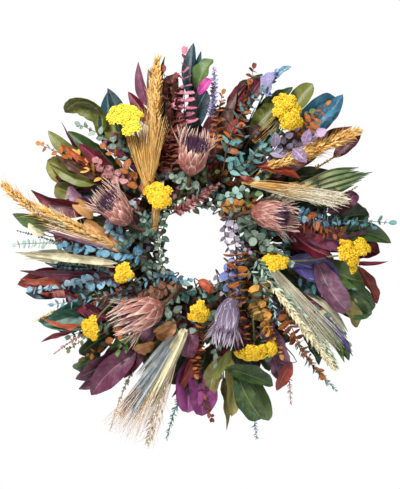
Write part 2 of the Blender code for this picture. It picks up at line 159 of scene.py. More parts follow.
def linear(hex_colour):
    """The linear RGB of an sRGB hex colour."""
    found = []
    for at in (1, 3, 5):
        value = int(hex_colour[at:at + 2], 16) / 255
        low = value <= 0.04045
        found.append(value / 12.92 if low else ((value + 0.055) / 1.055) ** 2.4)
    return tuple(found)


def colour_property(label, hex_colour, words):
    """A colour that a user can change."""
    return FloatVectorProperty(
        name=label, description=words, subtype="COLOR", size=3, min=0.0, max=1.0,
        default=linear(hex_colour),
    )


class WreathColours(PropertyGroup):
    """The main colour and the tint of every finish."""
    __annotations__ = {
        **{key: colour_property(label, main, f"Main colour of the {words}")
           for key, label, main, tint, words in COLOURS},
        **{key + "_tint": colour_property(label + " tint", tint, f"Tint on the {words}")
           for key, label, main, tint, words in COLOURS},
    }


class WreathSizes(PropertyGroup):
    """Sizes that the frame leaves open."""
    twig: FloatProperty(
        name="Twig radius", description="Radius of a sprig's twig at its root",
        default=0.0011, min=0.0003, max=0.003, unit="LENGTH",
    )
    floret: FloatProperty(
        name="Yarrow floret", description="Width of one yarrow floret",
        default=0.0036, min=0.002, max=0.008, unit="LENGTH",
    )
    straw: FloatProperty(
        name="Straw radius", description="Radius of one dried straw at its root",
        default=0.00055, min=0.0002, max=0.002, unit="LENGTH",
    )
    grain: FloatProperty(
        name="Spikelet length", description="Length of one spikelet of a grass head",
        default=0.0105, min=0.004, max=0.02, unit="LENGTH",
    )
    bracts: IntProperty(
        name="Protea bracts", description="Bracts in one row round a protea head",
        default=19, min=8, max=28,
    )
    ridge: FloatProperty(
        name="Bark ridge", description="Height of the ridges along the grapevine bark",
        default=0.0007, min=0.0, max=0.002, unit="LENGTH",
    )
    floor: FloatProperty(
        name="Floor width", description="Width of the pale floor",
        default=4.6, min=2.0, max=8.0, unit="LENGTH",
    )
    lens: FloatProperty(
        name="Camera lens", description="Focal length of the camera",
        default=90.0, min=35.0, max=200.0, unit="CAMERA",
    )


# -------------------------------------------------------------- materials

def add_node(tree, kind, settings=None, links=None):
    """One shader node with its settings and what feeds each of its sockets."""
    node = tree.nodes.new("ShaderNode" + kind)
    for key, value in (settings or {}).items():
        if key == "stops":
            ramp = node.color_ramp.elements
            while len(ramp) < len(value):
                ramp.new(1.0)
            for element, (at, colour) in zip(ramp, value):
                element.position = at
                element.color = (*colour, 1.0)
        elif isinstance(key, str) and hasattr(node, key):
            setattr(node, key, value)
        else:
            node.inputs[key].default_value = value
    for key, source in (links or {}).items():
        tree.links.new(source, node.inputs[key])
    return node


def mixed(colour, other, share):
    """A colour part of the way to another."""
    return tuple(a + (b - a) * share for a, b in zip(colour, other))


def scaled(colour, share):
    """A colour made darker or lighter."""
    return tuple(min(1.0, c * share) for c in colour)


def new_finish(name, key, roughness, gloss=0.5):
    """An empty material, its shader, and the two colours it is made from."""
    colours = bpy.context.scene.wreath_colours
    made = bpy.data.materials.new(name)
    made.use_nodes = True
    tree = made.node_tree
    shader = tree.nodes["Principled BSDF"]
    shader.inputs["Roughness"].default_value = roughness
    shader.inputs["Specular IOR Level"].default_value = gloss
    if key is None:
        return made, tree, shader, None, None
    return made, tree, shader, tuple(getattr(colours, key)), tuple(getattr(colours, key + "_tint"))


def own_map(tree):
    """A piece's own map, the run from its foot to its tip, and how far a
    point lies off its middle line."""
    lay = add_node(tree, "UVMap", {"uv_map": "lay"})
    part = add_node(tree, "SeparateXYZ", links={"Vector": lay.outputs["UV"]})
    across = add_node(tree, "Math", {"operation": "SUBTRACT", 1: 0.5}, {0: part.outputs["X"]})
    off = add_node(tree, "Math", {"operation": "ABSOLUTE"}, {0: across.outputs[0]})
    return lay.outputs["UV"], part.outputs["Y"], off.outputs[0]


def clouds(tree, scale, detail):
    """Cloudy patches through the piece, as many to the metre as its scale."""
    where = add_node(tree, "TexCoord")
    noise = add_node(tree, "TexNoise", {"Scale": scale, "Detail": detail},
                     {"Vector": where.outputs["Object"]})
    return noise.outputs["Fac"]


def fibres(tree, lay, stretch, fine, detail):
    """Fibres that run along the piece, on its own map."""
    drawn = add_node(tree, "Mapping", {"Scale": (*stretch, 1.0)}, {"Vector": lay})
    noise = add_node(tree, "TexNoise", {"Scale": fine, "Detail": detail}, {"Vector": drawn.outputs[0]})
    return noise.outputs["Fac"]


def laid_over(tree, body, colour, value, low, high, least, most):
    """A colour laid over a body, from the least to the most of it as a value
    runs from low to high."""
    share = add_node(tree, "MapRange", {1: low, 2: high, 3: least, 4: most}, {0: value})
    over = add_node(tree, "Mix", {"data_type": "RGBA", 7: (*colour, 1.0)},
                    {0: share.outputs[0], 6: body})
    return over.outputs[2]


def complete(tree, shader, colour, height, depth_mm, worn=None, sheen=(0.0, 1.0)):
    """Give a shader its colour, its relief of a depth in millimetres, and a
    roughness that runs over the sheen as the wear goes from 0 to 1."""
    tree.links.new(colour, shader.inputs["Base Color"])
    relief = add_node(tree, "Bump", {"Strength": 0.8, "Distance": depth_mm / 1000}, {"Height": height})
    tree.links.new(relief.outputs["Normal"], shader.inputs["Normal"])
    if worn is not None:
        rough = add_node(tree, "MapRange", {3: sheen[0], 4: sheen[1]}, {0: worn})
        tree.links.new(rough.outputs[0], shader.inputs["Roughness"])


def layered_colour(tree, main, tint, grain_mm):
    """The colour of a dyed plant part: its own shade of the dye, and blotches
    of the tint a few millimetres wide where the dye took less."""
    shade = add_node(tree, "Attribute", {"attribute_name": "shade"})
    dye = add_node(tree, "ValToRGB", {"stops": (
        (0.0, scaled(main, 0.36)), (0.45, scaled(main, 0.92)), (1.0, mixed(scaled(main, 1.2), tint, 0.75)),
    )}, {"Fac": shade.outputs["Fac"]})
    blotch = clouds(tree, 1000 / grain_mm, 3.0)
    return laid_over(tree, dye.outputs["Color"], tint, blotch, 0.45, 0.75, 0.0, 0.65), blotch


def blade_finish(name, key):
    """A glycerined and dyed leaf blade: a supple satin skin, the midrib and
    the side veins paler and raised, the rim darker where it dried first."""
    made, tree, shader, main, tint = new_finish(name, key, 0.42, 0.40)
    body, blotch = layered_colour(tree, main, tint, 11.0)
    run, off = own_map(tree)[1:]
    climb = add_node(tree, "Math", {"operation": "MULTIPLY_ADD", 1: -0.55}, {0: off, 2: run})
    # nine pairs of side veins, about 8 mm apart on an 80 mm blade
    wave = add_node(tree, "Math", {"operation": "MULTIPLY", 1: 2 * math.pi * 9}, {0: climb.outputs[0]})
    crest = add_node(tree, "Math", {"operation": "SINE"}, {0: wave.outputs[0]})
    vein = add_node(tree, "MapRange", {1: 0.70, 2: 1.0, 3: 0.0, 4: 0.07}, {0: crest.outputs[0]})
    rib = add_node(tree, "MapRange", {1: 0.040, 2: 0.008, 3: 0.0, 4: 0.36}, {0: off})
    lines = add_node(tree, "Math", {"operation": "MAXIMUM"}, {0: vein.outputs[0], 1: rib.outputs[0]})
    pale = mixed(tint, linear(DRY_VEIN), 0.40)
    veined = add_node(tree, "Mix", {"data_type": "RGBA", 7: (*pale, 1.0)},
                      {0: lines.outputs[0], 6: body})
    edged = laid_over(tree, veined.outputs[2], scaled(main, 0.55), off, 0.42, 0.5, 0.0, 0.5)
    relief = add_node(tree, "Math", {"operation": "MULTIPLY_ADD", 1: 1.4}, {0: blotch, 2: lines.outputs[0]})
    complete(tree, shader, edged, relief.outputs[0], 0.9, blotch, (0.34, 0.58))
    return made


def small_leaf_finish(name, key):
    """A preserved eucalyptus leaf: dull, with the pale waxy bloom of the
    fresh leaf left in clouds over the dye, and a fine midrib."""
    made, tree, shader, main, tint = new_finish(name, key, 0.60, 0.30)
    body, bloom = layered_colour(tree, main, tint, 4.0)
    off = own_map(tree)[2]
    rib = add_node(tree, "MapRange", {1: 0.06, 2: 0.01, 3: 0.0, 4: 0.45}, {0: off})
    pale = mixed(tint, linear(WAXY_RIB), 0.3)
    lined = add_node(tree, "Mix", {"data_type": "RGBA", 7: (*pale, 1.0)}, {0: rib.outputs[0], 6: body})
    complete(tree, shader, lined.outputs[2], rib.outputs[0], 0.3, bloom, (0.48, 0.72))
    return made


def straw_finish(name, key):
    """Dried grass stem and husk: silky, with fibres running along it, drawn
    0.5 mm wide so that they show, and paler where the sun bleached it."""
    made, tree, shader, main, tint = new_finish(name, key, 0.45)
    body = layered_colour(tree, main, tint, 12.0)[0]
    fibre = fibres(tree, own_map(tree)[0], (9.0, 1.5), 3.0, 2.0)
    streaked = laid_over(tree, body, scaled(main, 0.62), fibre, 0.35, 0.65, 0.0, 0.45)
    complete(tree, shader, streaked, fibre, 0.2, fibre, (0.38, 0.60))
    return made


def palm_finish(name, key, foot, tip):
    """A pleated palm spear, dried: leathery, cream at the cut foot, green or
    bleached above and darker at the tip, with the ribs of the pleats darker."""
    made, tree, shader, main, tint = new_finish(name, key, 0.50)
    body, blotch = layered_colour(tree, main, tint, 14.0)
    lay, run = own_map(tree)[:2]
    tipped = laid_over(tree, body, linear(tip), run, 0.62, 0.95, 0.0, 0.85)
    footed = laid_over(tree, tipped, linear(foot), run, 0.15, 0.75, 0.95, 0.0)
    fibre = fibres(tree, lay, (6.0, 0.8), 4.0, 3.0)
    ribbed = laid_over(tree, footed, scaled(main, 0.55), fibre, 0.40, 0.62, 0.0, 0.5)
    complete(tree, shader, ribbed, fibre, 0.3, blotch, (0.42, 0.62))
    return made


def bract_finish(name, key):
    """A dried protea bract: papery, dark at its foot, flushed in the middle,
    with a fringe of silver hairs along its rim and tip."""
    made, tree, shader, main, tint = new_finish(name, key, 0.62)
    lay, run, off = own_map(tree)
    shade = add_node(tree, "Attribute", {"attribute_name": "shade"})
    lift = add_node(tree, "Math", {"operation": "MULTIPLY_ADD", 1: 0.30},
                    {0: shade.outputs["Fac"], 2: run})
    along = add_node(tree, "ValToRGB", {"stops": (
        (0.0, scaled(main, 0.22)), (0.34, scaled(main, 0.62)), (0.66, main),
        (0.94, mixed(main, tint, 0.6)), (1.0, tint),
    )}, {"Fac": lift.outputs[0]})
    silver = laid_over(tree, along.outputs["Color"], tint, off, 0.30, 0.5, 0.0, 0.65)
    fibre = fibres(tree, lay, (12.0, 1.0), 2.5, 3.0)
    streaked = laid_over(tree, silver, scaled(main, 0.5), fibre, 0.42, 0.66, 0.0, 0.5)
    complete(tree, shader, streaked, fibre, 0.25)
    return made


def floret_finish(name, key):
    """Dried yarrow or statice florets: matt and bright, each with a darker
    throat, grainy with pollen, drawn 1 mm coarse so that it shows."""
    made, tree, shader, main, tint = new_finish(name, key, 0.70)
    body = layered_colour(tree, main, tint, 2.4)[0]
    where = add_node(tree, "TexCoord")
    pollen = add_node(tree, "TexVoronoi", {"Scale": 1000.0}, {"Vector": where.outputs["Object"]})
    grains = pollen.outputs["Distance"]
    specked = laid_over(tree, body, scaled(main, 0.6), grains, 0.3, 0.8, 0.0, 0.22)
    complete(tree, shader, specked, grains, 0.4)
    return made


def bark_finish(name, key, streak_mm, depth_mm):
    """Woody bark: rough, peeling in strings along the vine or the twig."""
    made, tree, shader, main, tint = new_finish(name, key, 0.85, 0.2)
    body = layered_colour(tree, main, tint, 16.0)[0]
    # the map runs once round the stem, so strings a few to each quarter turn
    strings = fibres(tree, own_map(tree)[0], (16.0 / streak_mm, 7.0), 2.0, 6.0)
    barked = laid_over(tree, body, scaled(main, 0.35), strings, 0.38, 0.62, 0.85, 0.0)
    complete(tree, shader, barked, strings, depth_mm)
    return made


def patched_finish(name, roughness, scale, detail, stops, depth_mm, metal=0.0, sheen=0.0):
    """Wire or paint: one colour that runs cloudily into another."""
    made, tree, shader, *_ = new_finish(name, None, roughness)
    shader.inputs["Metallic"].default_value = metal
    patches = clouds(tree, scale, detail)
    tone = add_node(tree, "ValToRGB", {"stops": [(at, linear(colour)) for at, colour in stops]},
                    {"Fac": patches})
    worn = patches if sheen else None
    complete(tree, shader, tone.outputs["Color"], patches, depth_mm, worn,
             (roughness - sheen, roughness + 1.5 * sheen))
    return made


# what each finish that is not a leaf's is made by, and with which settings
FINISHES = {
    **dict.fromkeys(("protea", "protea_grey"), (bract_finish,)),
    **dict.fromkeys(("yarrow", "lemon", "lilac", "peri", "white", "tuft"), (floret_finish,)),
    **dict.fromkeys(("gold", "amber", "bleached", "ash", "peach", "mint_straw", "stalk"), (straw_finish,)),
    "palm": (palm_finish, "#DDD3A6", "#2F4A26"),
    "palm_pale": (palm_finish, "#F2EBD0", "#84867C"),
    "bark": (bark_finish, 0.9, 0.9),
    "twig": (bark_finish, 2.0, 0.3),
}

# drawn steel wire, lacquered brown for the florist's ties and galvanised with
# faint cloudy zinc for the hanger, and matt painted board with a faint roller
# texture 4 mm wide: name, roughness, patches to the metre and their detail,
# colours, depth in mm, metal, change in roughness
PATCHED = {
    "florist_wire": ("lacquered florist wire", 0.45, 350.0, 4.0, ((0.35, "#4E3C28"), (0.7, "#7A6448")),
                     0.05, 1.0, 0.1),
    "galvanised": ("galvanised steel wire", 0.40, 350.0, 4.0, ((0.35, "#8C8E90"), (0.7, "#B4B6B8")),
                   0.05, 1.0, 0.1),
    "board": ("matt painted board", 0.80, 250.0, 2.0, ((0.3, "#F2F1EF"), (0.7, "#F8F7F5")), 0.1),
}


@lru_cache(None)
def finish(key):
    """The one material of a key, made when it is first asked for."""
    if key in PATCHED:
        return patched_finish(*PATCHED[key])
    words = {c[0]: c[4] for c in COLOURS}
    usual = small_leaf_finish if key.startswith("euc_") else blade_finish
    make, *settings = FINISHES.get(key, (usual,))
    return make(f"{words[key]}, {key.replace('_', ' ')}", key, *settings)


# ------------------------------------------------- unit shapes, made by hand

# the turn that lays a round primitive along y, where every unit runs
ALONG_Y = (-math.pi / 2, 0.0, 0.0)
# unit shapes as deep as they are wide; the others are flat
SOLID = ("grain", "bud", "floret", "hair")
# points along one blade
BLADE_STEPS = 24

Block = namedtuple("Block", "points corners sizes lay shade")


def select_where(unit, wanted):
    """Select the vertices of a unit in edit mode by their place."""
    shape = bmesh.from_edit_mesh(unit.data)
    for vertex in shape.verts:
        vertex.select = bool(wanted(vertex.co))
    shape.select_flush_mode()
    bmesh.update_edit_mesh(unit.data)


def new_primitive(add, **settings):
    """A new primitive with its place, turn and size baked into its mesh."""
    bpy.ops.object.select_all(action="DESELECT")
    add(**settings)
    bpy.ops.object.transform_apply(location=True, rotation=True, scale=True)
    return bpy.context.object


def start_editing(add, **settings):
    """A new primitive, with its vertices open for editing."""
    unit = new_primitive(add, **settings)
    bpy.ops.object.mode_set(mode="EDIT")
    bpy.ops.mesh.select_mode(type="VERT")
    return unit


def taken(unit, mapped=False):
    """The unit's surface as a block; the unit's object goes."""
    bpy.ops.object.mode_set(mode="OBJECT")
    mesh = unit.data
    points = np.empty(len(mesh.vertices) * 3)
    mesh.vertices.foreach_get("co", points)
    points = points.reshape(-1, 3)
    corners = np.empty(len(mesh.loops), int)
    mesh.loops.foreach_get("vertex_index", corners)
    sizes = np.empty(len(mesh.polygons), int)
    mesh.polygons.foreach_get("loop_total", sizes)
    if mapped:
        lay = np.empty(len(mesh.loops) * 2)
        mesh.uv_layers.active.uv.foreach_get("vector", lay)
        lay = lay.reshape(-1, 2)
    else:
        lay = points[corners][:, :2] + (0.5, 0.0)
    bpy.data.objects.remove(unit, do_unlink=True)
    bpy.data.meshes.remove(mesh)
    return Block(points, corners, sizes, lay, np.zeros(len(points)))


def blade_unit(outline, columns, rows, thickness):
    """A flat blade one metre long: a grid whose rows are drawn in to an
    outline, then given its thickness."""
    unit = start_editing(bpy.ops.mesh.primitive_grid_add, x_subdivisions=columns, y_subdivisions=rows,
                         size=1.0, location=(0.0, 0.5, 0.0))
    for row in range(rows + 1):
        up = row / rows
        select_where(unit, lambda p: abs(p.y - up) < 0.3 / rows)
        bpy.ops.transform.resize(
            value=(max(outline(up), 0.03), 1.0, 1.0), center_override=(0.0, up, 0.0))
    bpy.ops.object.mode_set(mode="OBJECT")
    wall = unit.modifiers.new("thickness", "SOLIDIFY")
    wall.thickness = thickness
    wall.offset = 0.0
    bpy.ops.object.modifier_apply(modifier=wall.name)
    return taken(unit, mapped=True)


def grain_unit(slender_end):
    """A seed or bud one metre long: a low round, its tip drawn in."""
    unit = start_editing(bpy.ops.mesh.primitive_uv_sphere_add, segments=6, ring_count=5, radius=0.5,
                         location=(0.0, 0.5, 0.0), rotation=ALONG_Y)
    select_where(unit, lambda p: p.y > 0.6)
    bpy.ops.transform.resize(value=(slender_end, 1.0, slender_end), center_override=(0.0, 0.8, 0.0))
    return taken(unit)


def floret_unit():
    """A cupped floret: a six-sided drum, its top inset and pushed in, its
    foot drawn together."""
    unit = start_editing(bpy.ops.mesh.primitive_cylinder_add, vertices=6, radius=0.5, depth=0.7,
                         location=(0.0, 0.35, 0.0), rotation=ALONG_Y)
    select_where(unit, lambda p: p.y < 0.1)
    bpy.ops.transform.resize(value=(0.45, 1.0, 0.45), center_override=(0.0, 0.0, 0.0))
    select_where(unit, lambda p: p.y > 0.6)
    bpy.ops.mesh.select_mode(type="FACE")
    bpy.ops.mesh.inset(thickness=0.16)
    bpy.ops.transform.translate(value=(0.0, -0.16, 0.0))
    bpy.ops.mesh.select_mode(type="VERT")
    return taken(unit)


def hair_unit():
    """A hair or awn one metre long, three-sided and tapered."""
    unit = start_editing(bpy.ops.mesh.primitive_cone_add, vertices=3, radius1=0.5, radius2=0.12,
                         depth=1.0, location=(0.0, 0.5, 0.0), rotation=ALONG_Y)
    bpy.ops.mesh.select_all(action="SELECT")
    bpy.ops.mesh.subdivide(number_cuts=1)
    return taken(unit)


def pointed(s):
    """Outline of a laurel or magnolia blade."""
    return math.sin(math.pi * s ** 0.85) ** 0.75 if 0 < s < 1 else 0.0


def blunt(s):
    """Outline of a salal or gum blade, widest past its middle."""
    return math.sin(math.pi * min(1.0, s ** 1.15)) ** 0.5 if 0 < s < 1 else 0.0


def lance(s):
    """Outline of a long willowy blade."""
    return math.sin(math.pi * s ** 0.7) ** 0.9 if 0 < s < 1 else 0.0


def disc(s):
    """Outline of a round eucalyptus leaf."""
    return math.sqrt(max(0.0, 1 - (2 * s - 1) ** 2)) + 0.12 * (1 - s)


def strap(s):
    """Outline of a pleat, even in width, with a pointed end."""
    return (0.75 + 0.25 * min(1.0, s * 3)) * (1.0 if s < 0.8 else (1 - s) * 4.6 + 0.08)


def bract(s):
    """Outline of a protea bract, broad below and long pointed above."""
    return min(1.0, 0.55 + s * 1.8) * (1.0 if s < 0.35 else max(0.0, 1 - (s - 0.35) / 0.65) ** 0.8)


@lru_cache(None)
def unit(kind):
    """The one unit shape of a kind, made when it is first asked for."""
    if kind in SOLID:
        return {"grain": lambda: grain_unit(0.55), "bud": lambda: grain_unit(0.8),
                "floret": floret_unit, "hair": hair_unit}[kind]()
    outline, columns, rows, thickness = {
        "pointed": (pointed, 6, 14, 0.010),
        "blunt": (blunt, 6, 14, 0.010),
        "long": (lance, 4, 14, 0.008),
        "disc": (disc, 2, 5, 0.040),
        "small": (pointed, 2, 4, 0.030),
        "willow": (lance, 2, 4, 0.025),
        "strap": (strap, 2, 12, 0.004),
        "bract": (bract, 2, 6, 0.015),
    }[kind]
    return blade_unit(outline, columns, rows, thickness)


# ------------------------------------------------------- lines and surfaces

def place(across, up, forward):
    """A point in metres from millimetres about the ring's middle."""
    return MIDDLE + np.array((across, -forward, up)) / 1000


def polar(angle, radius, forward):
    """A place given by its compass angle in degrees and its radius."""
    turn = math.radians(angle)
    return (math.cos(turn) * radius, math.sin(turn) * radius, forward)


def lengths(rows):
    """Rows of vectors made one long."""
    rows = np.asarray(rows, float)
    return rows / np.maximum(np.linalg.norm(rows, axis=-1, keepdims=True), 1e-9)


def smooth_line(points, count):
    """An even, rounded line through a few points."""
    points = np.asarray(points, float)
    if len(points) == 2:
        return points[0] + (points[1] - points[0]) * np.linspace(0, 1, count)[:, None]
    ends = np.vstack((2 * points[0] - points[1], points, 2 * points[-1] - points[-2]))
    found = []
    for i in range(1, len(ends) - 2):
        a, b, c, d = ends[i - 1:i + 3]
        t = np.linspace(0, 1, 8, endpoint=i == len(ends) - 3)[:, None]
        found.append(0.5 * (2 * b + (c - a) * t + (2 * a - 5 * b + 4 * c - d) * t ** 2
                            + (3 * b - a - 3 * c + d) * t ** 3))
    fine = np.vstack(found)
    steps = np.r_[0, np.cumsum(np.linalg.norm(np.diff(fine, axis=0), axis=1))]
    marks = np.linspace(0, steps[-1], count)
    return np.stack([np.interp(marks, steps, fine[:, k]) for k in range(3)], axis=1)


def frames(line):
    """The direction along a line and one sideways, turned as little as can be."""
    along = lengths(np.gradient(line, axis=0))
    side = np.cross(along[0], FRONT)
    if np.linalg.norm(side) < 0.2:
        side = np.cross(along[0], (0.0, 0.0, 1.0))
    sides = []
    for step in along:
        side = side - step * side.dot(step)
        side = side / np.linalg.norm(side)
        sides.append(side)
    return along, np.array(sides)


def spokes(one, other, angle):
    """Directions at these angles from one direction towards another."""
    return one * np.cos(angle)[:, None] + other * np.sin(angle)[:, None]


def shades(rng, middle, spread, count):
    """Random shades of a dye, from 0, dark, to 1, pale."""
    return np.clip(rng.normal(middle, spread, count), 0, 1)


def span(start, end, arch=8.0, bow=0.0):
    """A bowed line between two places: arch is forward, bow is to the right
    of its way, both in millimetres at its middle."""
    one, other = place(*start), place(*end)
    side = lengths(np.cross(other - one, FRONT))
    steps = np.linspace(0, 1, 9)[:, None]
    bulge = np.sin(math.pi * steps) / 1000
    return one + (other - one) * steps + FRONT * arch * bulge + side * bow * bulge


def rooted(line):
    """The line of a stalk from the vines up to the start of a line; its root
    lies inside the bundle of vines."""
    start = line[0] - MIDDLE
    turn = math.atan2(start[2], start[0])
    out = np.array((math.hypot(start[0], start[2]) - RING, -start[1]))
    out = out / max(np.linalg.norm(out), 1e-6) * BUNDLE * ROOT_REACH
    root = MIDDLE + np.array((math.cos(turn) * (RING + out[0]), -out[1], math.sin(turn) * (RING + out[0])))
    back = line[0] - lengths(line[1] - line[0]) * 0.008
    return smooth_line([root, back, line[0], line[1]], 10)


def tube(line, radii, sides=6, shade=0.5, closed=False, sideways=None, ridge=None):
    """A round stem along a line, with the radius at each of its points."""
    count = len(line)
    radii = np.broadcast_to(radii, count)
    along, side = frames(line)
    if sideways is not None:
        along = lengths(np.roll(line, -1, axis=0) - np.roll(line, 1, axis=0))
        side = lengths(sideways - along * np.sum(sideways * along, axis=1, keepdims=True))
    other = np.cross(along, side)
    turn = 2 * math.pi * np.arange(sides) / sides
    swell = radii[:, None] * np.ones(sides)
    if ridge is not None:
        swell = swell + ridge(np.arange(count)[:, None] / count, turn[None, :])
    points = (line[:, None] + side[:, None] * (np.cos(turn) * swell)[..., None]
              + other[:, None] * (np.sin(turn) * swell)[..., None]).reshape(-1, 3)
    rows = count if closed else count - 1
    i, j = np.meshgrid(np.arange(rows), np.arange(sides), indexing="ij")
    i, j = i.ravel(), j.ravel()
    k, up = (j + 1) % sides, (i + 1) % count
    corners = np.stack((i * sides + j, i * sides + k, up * sides + k, up * sides + j), axis=1).ravel()
    lay = np.stack((np.stack((j, j + 1, j + 1, j), axis=1) / sides,
                    np.stack((i, i, i + 1, i + 1), axis=1) / rows), axis=2).reshape(-1, 2)
    sizes = np.full(rows * sides, 4)
    if not closed:
        ends = np.r_[np.arange(sides)[::-1], (count - 1) * sides + np.arange(sides)]
        corners = np.r_[corners, ends]
        lay = np.vstack((lay, np.tile((0.5, 0.0), (sides, 1)), np.tile((0.5, 1.0), (sides, 1))))
        sizes = np.r_[sizes, sides, sides]
    return Block(points, corners, sizes, lay, np.full(len(points), shade))


def stalk_of(line, first, last, sides=6, shade=0.5):
    """A stem whose radius runs from first to last along its line."""
    return tube(line, np.linspace(first, last, len(line)), sides, shade)


def copies(kind, at, along, face, length, width, bend=0.0, cup=0.0, shade=0.5):
    """Many copies of a unit shape. Each stands at a point, runs along a
    direction, shows its upper side to face, and bends towards it."""
    shape = unit(kind)
    at = np.asarray(at, float).reshape(-1, 3)
    count = len(at)
    along = lengths(np.broadcast_to(along, at.shape))
    side = lengths(np.cross(along, np.broadcast_to(face, at.shape)))
    face = np.cross(side, along)
    length, width, bend, cup, shade = (
        np.broadcast_to(value, count).astype(float)[:, None] for value in (length, width, bend, cup, shade))
    x, y, z = shape.points.T
    bend = np.where(np.abs(bend) < 1e-3, 1e-3, bend)
    run = np.sin(bend * y) / bend
    rise = (1 - np.cos(bend * y)) / bend
    deep = width / length if kind in SOLID else 1
    lift = (rise + z * deep) * length + cup * width * (2 * x) ** 2
    points = (at[:, None] + side[:, None] * (x * width)[..., None]
              + along[:, None] * (run * length)[..., None] + face[:, None] * lift[..., None])
    step = np.arange(count)[:, None] * len(shape.points)
    corners = (shape.corners[None, :] + step).ravel()
    return Block(points.reshape(-1, 3), corners, np.tile(shape.sizes, count),
                 np.tile(shape.lay, (count, 1)), np.repeat(shade.ravel(), len(shape.points)))


def blade(kind, line, width, roll=0.0, twist=0.0, cup=0.1, wave=0.0, shade=0.5, phase=0.0, fold=0.0):
    """One blade laid along a line: rolled and twisted about it, cupped
    across, with a wavy rim."""
    shape = unit(kind)
    line = smooth_line(line, BLADE_STEPS)
    along, side = frames(line)
    face = np.cross(side, along)
    x, y, z = shape.points.T
    marks = np.linspace(0, 1, BLADE_STEPS)

    def between(rows):
        return np.stack([np.interp(y, marks, rows[:, k]) for k in range(3)], axis=1)

    middle, side, face = between(line), between(side), between(face)
    turn = (roll + twist * y)[:, None]
    side, face = side * np.cos(turn) + face * np.sin(turn), face * np.cos(turn) - side * np.sin(turn)
    length = np.linalg.norm(np.diff(line, axis=0), axis=1).sum()
    rim = (2 * x) ** 2
    lift = z * length + width * rim * (cup + wave * np.sin(y * 17 + phase + x * 3)) + width * fold * np.abs(x)
    points = middle + side * (x * width)[:, None] + face * lift[:, None]
    return Block(points, shape.corners, shape.sizes, shape.lay, np.full(len(points), shade))


# edges that turn more than this are sharp
SHARP = math.radians(50)


class Piece:
    """Blocks of surface gathered for one named piece, with their finishes."""

    def __init__(self, name):
        self.name = name
        self.blocks = []
        self.keys = []
        self.slots = []
        self.rng = np.random.default_rng(zlib.crc32(name.encode()))

    def add(self, key, *blocks):
        """Gather blocks that share a finish."""
        if key not in self.keys:
            self.keys.append(key)
        self.blocks += blocks
        self.slots += [self.keys.index(key)] * len(blocks)

    def make(self, *nodes, slot=None, body="wreath"):
        """The piece as one mesh on a body, standing for its CAD nodes."""
        starts = np.cumsum([0] + [len(b.points) for b in self.blocks])
        points = np.vstack([b.points for b in self.blocks])
        corners = np.concatenate([b.corners + first for b, first in zip(self.blocks, starts)])
        sizes = np.concatenate([b.sizes for b in self.blocks])
        mesh = bpy.data.meshes.new(self.name)
        mesh.vertices.add(len(points))
        mesh.vertices.foreach_set("co", points.astype(np.float32).ravel())
        mesh.loops.add(len(corners))
        mesh.loops.foreach_set("vertex_index", corners.astype(np.int32))
        mesh.polygons.add(len(sizes))
        mesh.polygons.foreach_set("loop_start", (np.cumsum(sizes) - sizes).astype(np.int32))
        slots = np.repeat(self.slots, [len(b.sizes) for b in self.blocks])
        mesh.polygons.foreach_set("material_index", slots.astype(np.int32))
        mesh.update(calc_edges=True)
        lay = mesh.uv_layers.new(name="lay", do_init=False)
        lay.uv.foreach_set("vector", np.vstack([b.lay for b in self.blocks]).astype(np.float32).ravel())
        shade = mesh.attributes.new("shade", "FLOAT", "POINT")
        shade.data.foreach_set("value", np.concatenate([b.shade for b in self.blocks]).astype(np.float32))
        for key in self.keys:
            mesh.materials.append(finish(key))
        mesh.shade_smooth()
        mesh.set_sharp_from_angle(angle=SHARP)
        made = bpy.data.objects.new(self.name, mesh)
        bpy.context.scene.collection.objects.link(made)
        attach(made, body)
        if nodes:
            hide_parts(*nodes)


def slot_of(node):
    """The record's material slot of a CAD node."""
    for entry in frame["record"]["subparts"]:
        if entry["node"] == node:
            return entry["material_slot"]
    return None


def rings_of(node):
    """The rings of points of a CAD stem, from its root to its tip."""
    mesh = frame["nodes"][node].data
    places = np.empty(len(mesh.vertices) * 3)
    mesh.vertices.foreach_get("co", places)
    corners, index = np.unique(np.round(places.reshape(-1, 3), 5), axis=0, return_inverse=True)
    index = index.ravel()
    ends = np.empty(len(mesh.edges) * 2, int)
    mesh.edges.foreach_get("vertices", ends)
    links = [set() for _ in corners]
    for a, b in index[ends].reshape(-1, 2):
        links[a].add(b)
        links[b].add(a)
    out = corners - MIDDLE
    gap = np.hypot(np.hypot(out[:, 0], out[:, 2]) - RING, out[:, 1])
    level = {int(np.argmin(gap))}
    seen = set(level)
    rings = []
    while level:
        rings.append(corners[sorted(level)])
        level = {n for v in level for n in links[v]} - seen
        seen |= level
    return rings


Stem = namedtuple("Stem", "stalk line width")


def middles_of(node, first=STALK_RINGS):
    """The middle of each ring of a CAD stem, from its root to its tip, and
    the widest radius of the rings from the first of its head."""
    rings = rings_of(node)
    middles = np.array([ring.mean(axis=0) for ring in rings])
    radius = max(np.linalg.norm(ring - ring.mean(axis=0), axis=1).max() for ring in rings[first:-1])
    return middles, radius


def stem_of(node):
    """The stalk's line, the leafy part's line and its width, from the CAD."""
    middles, radius = middles_of(node)
    return Stem(middles[:STALK_RINGS], middles[STALK_RINGS - 1:], radius * 2)


# ------------------------------------------------------------ broad leaves

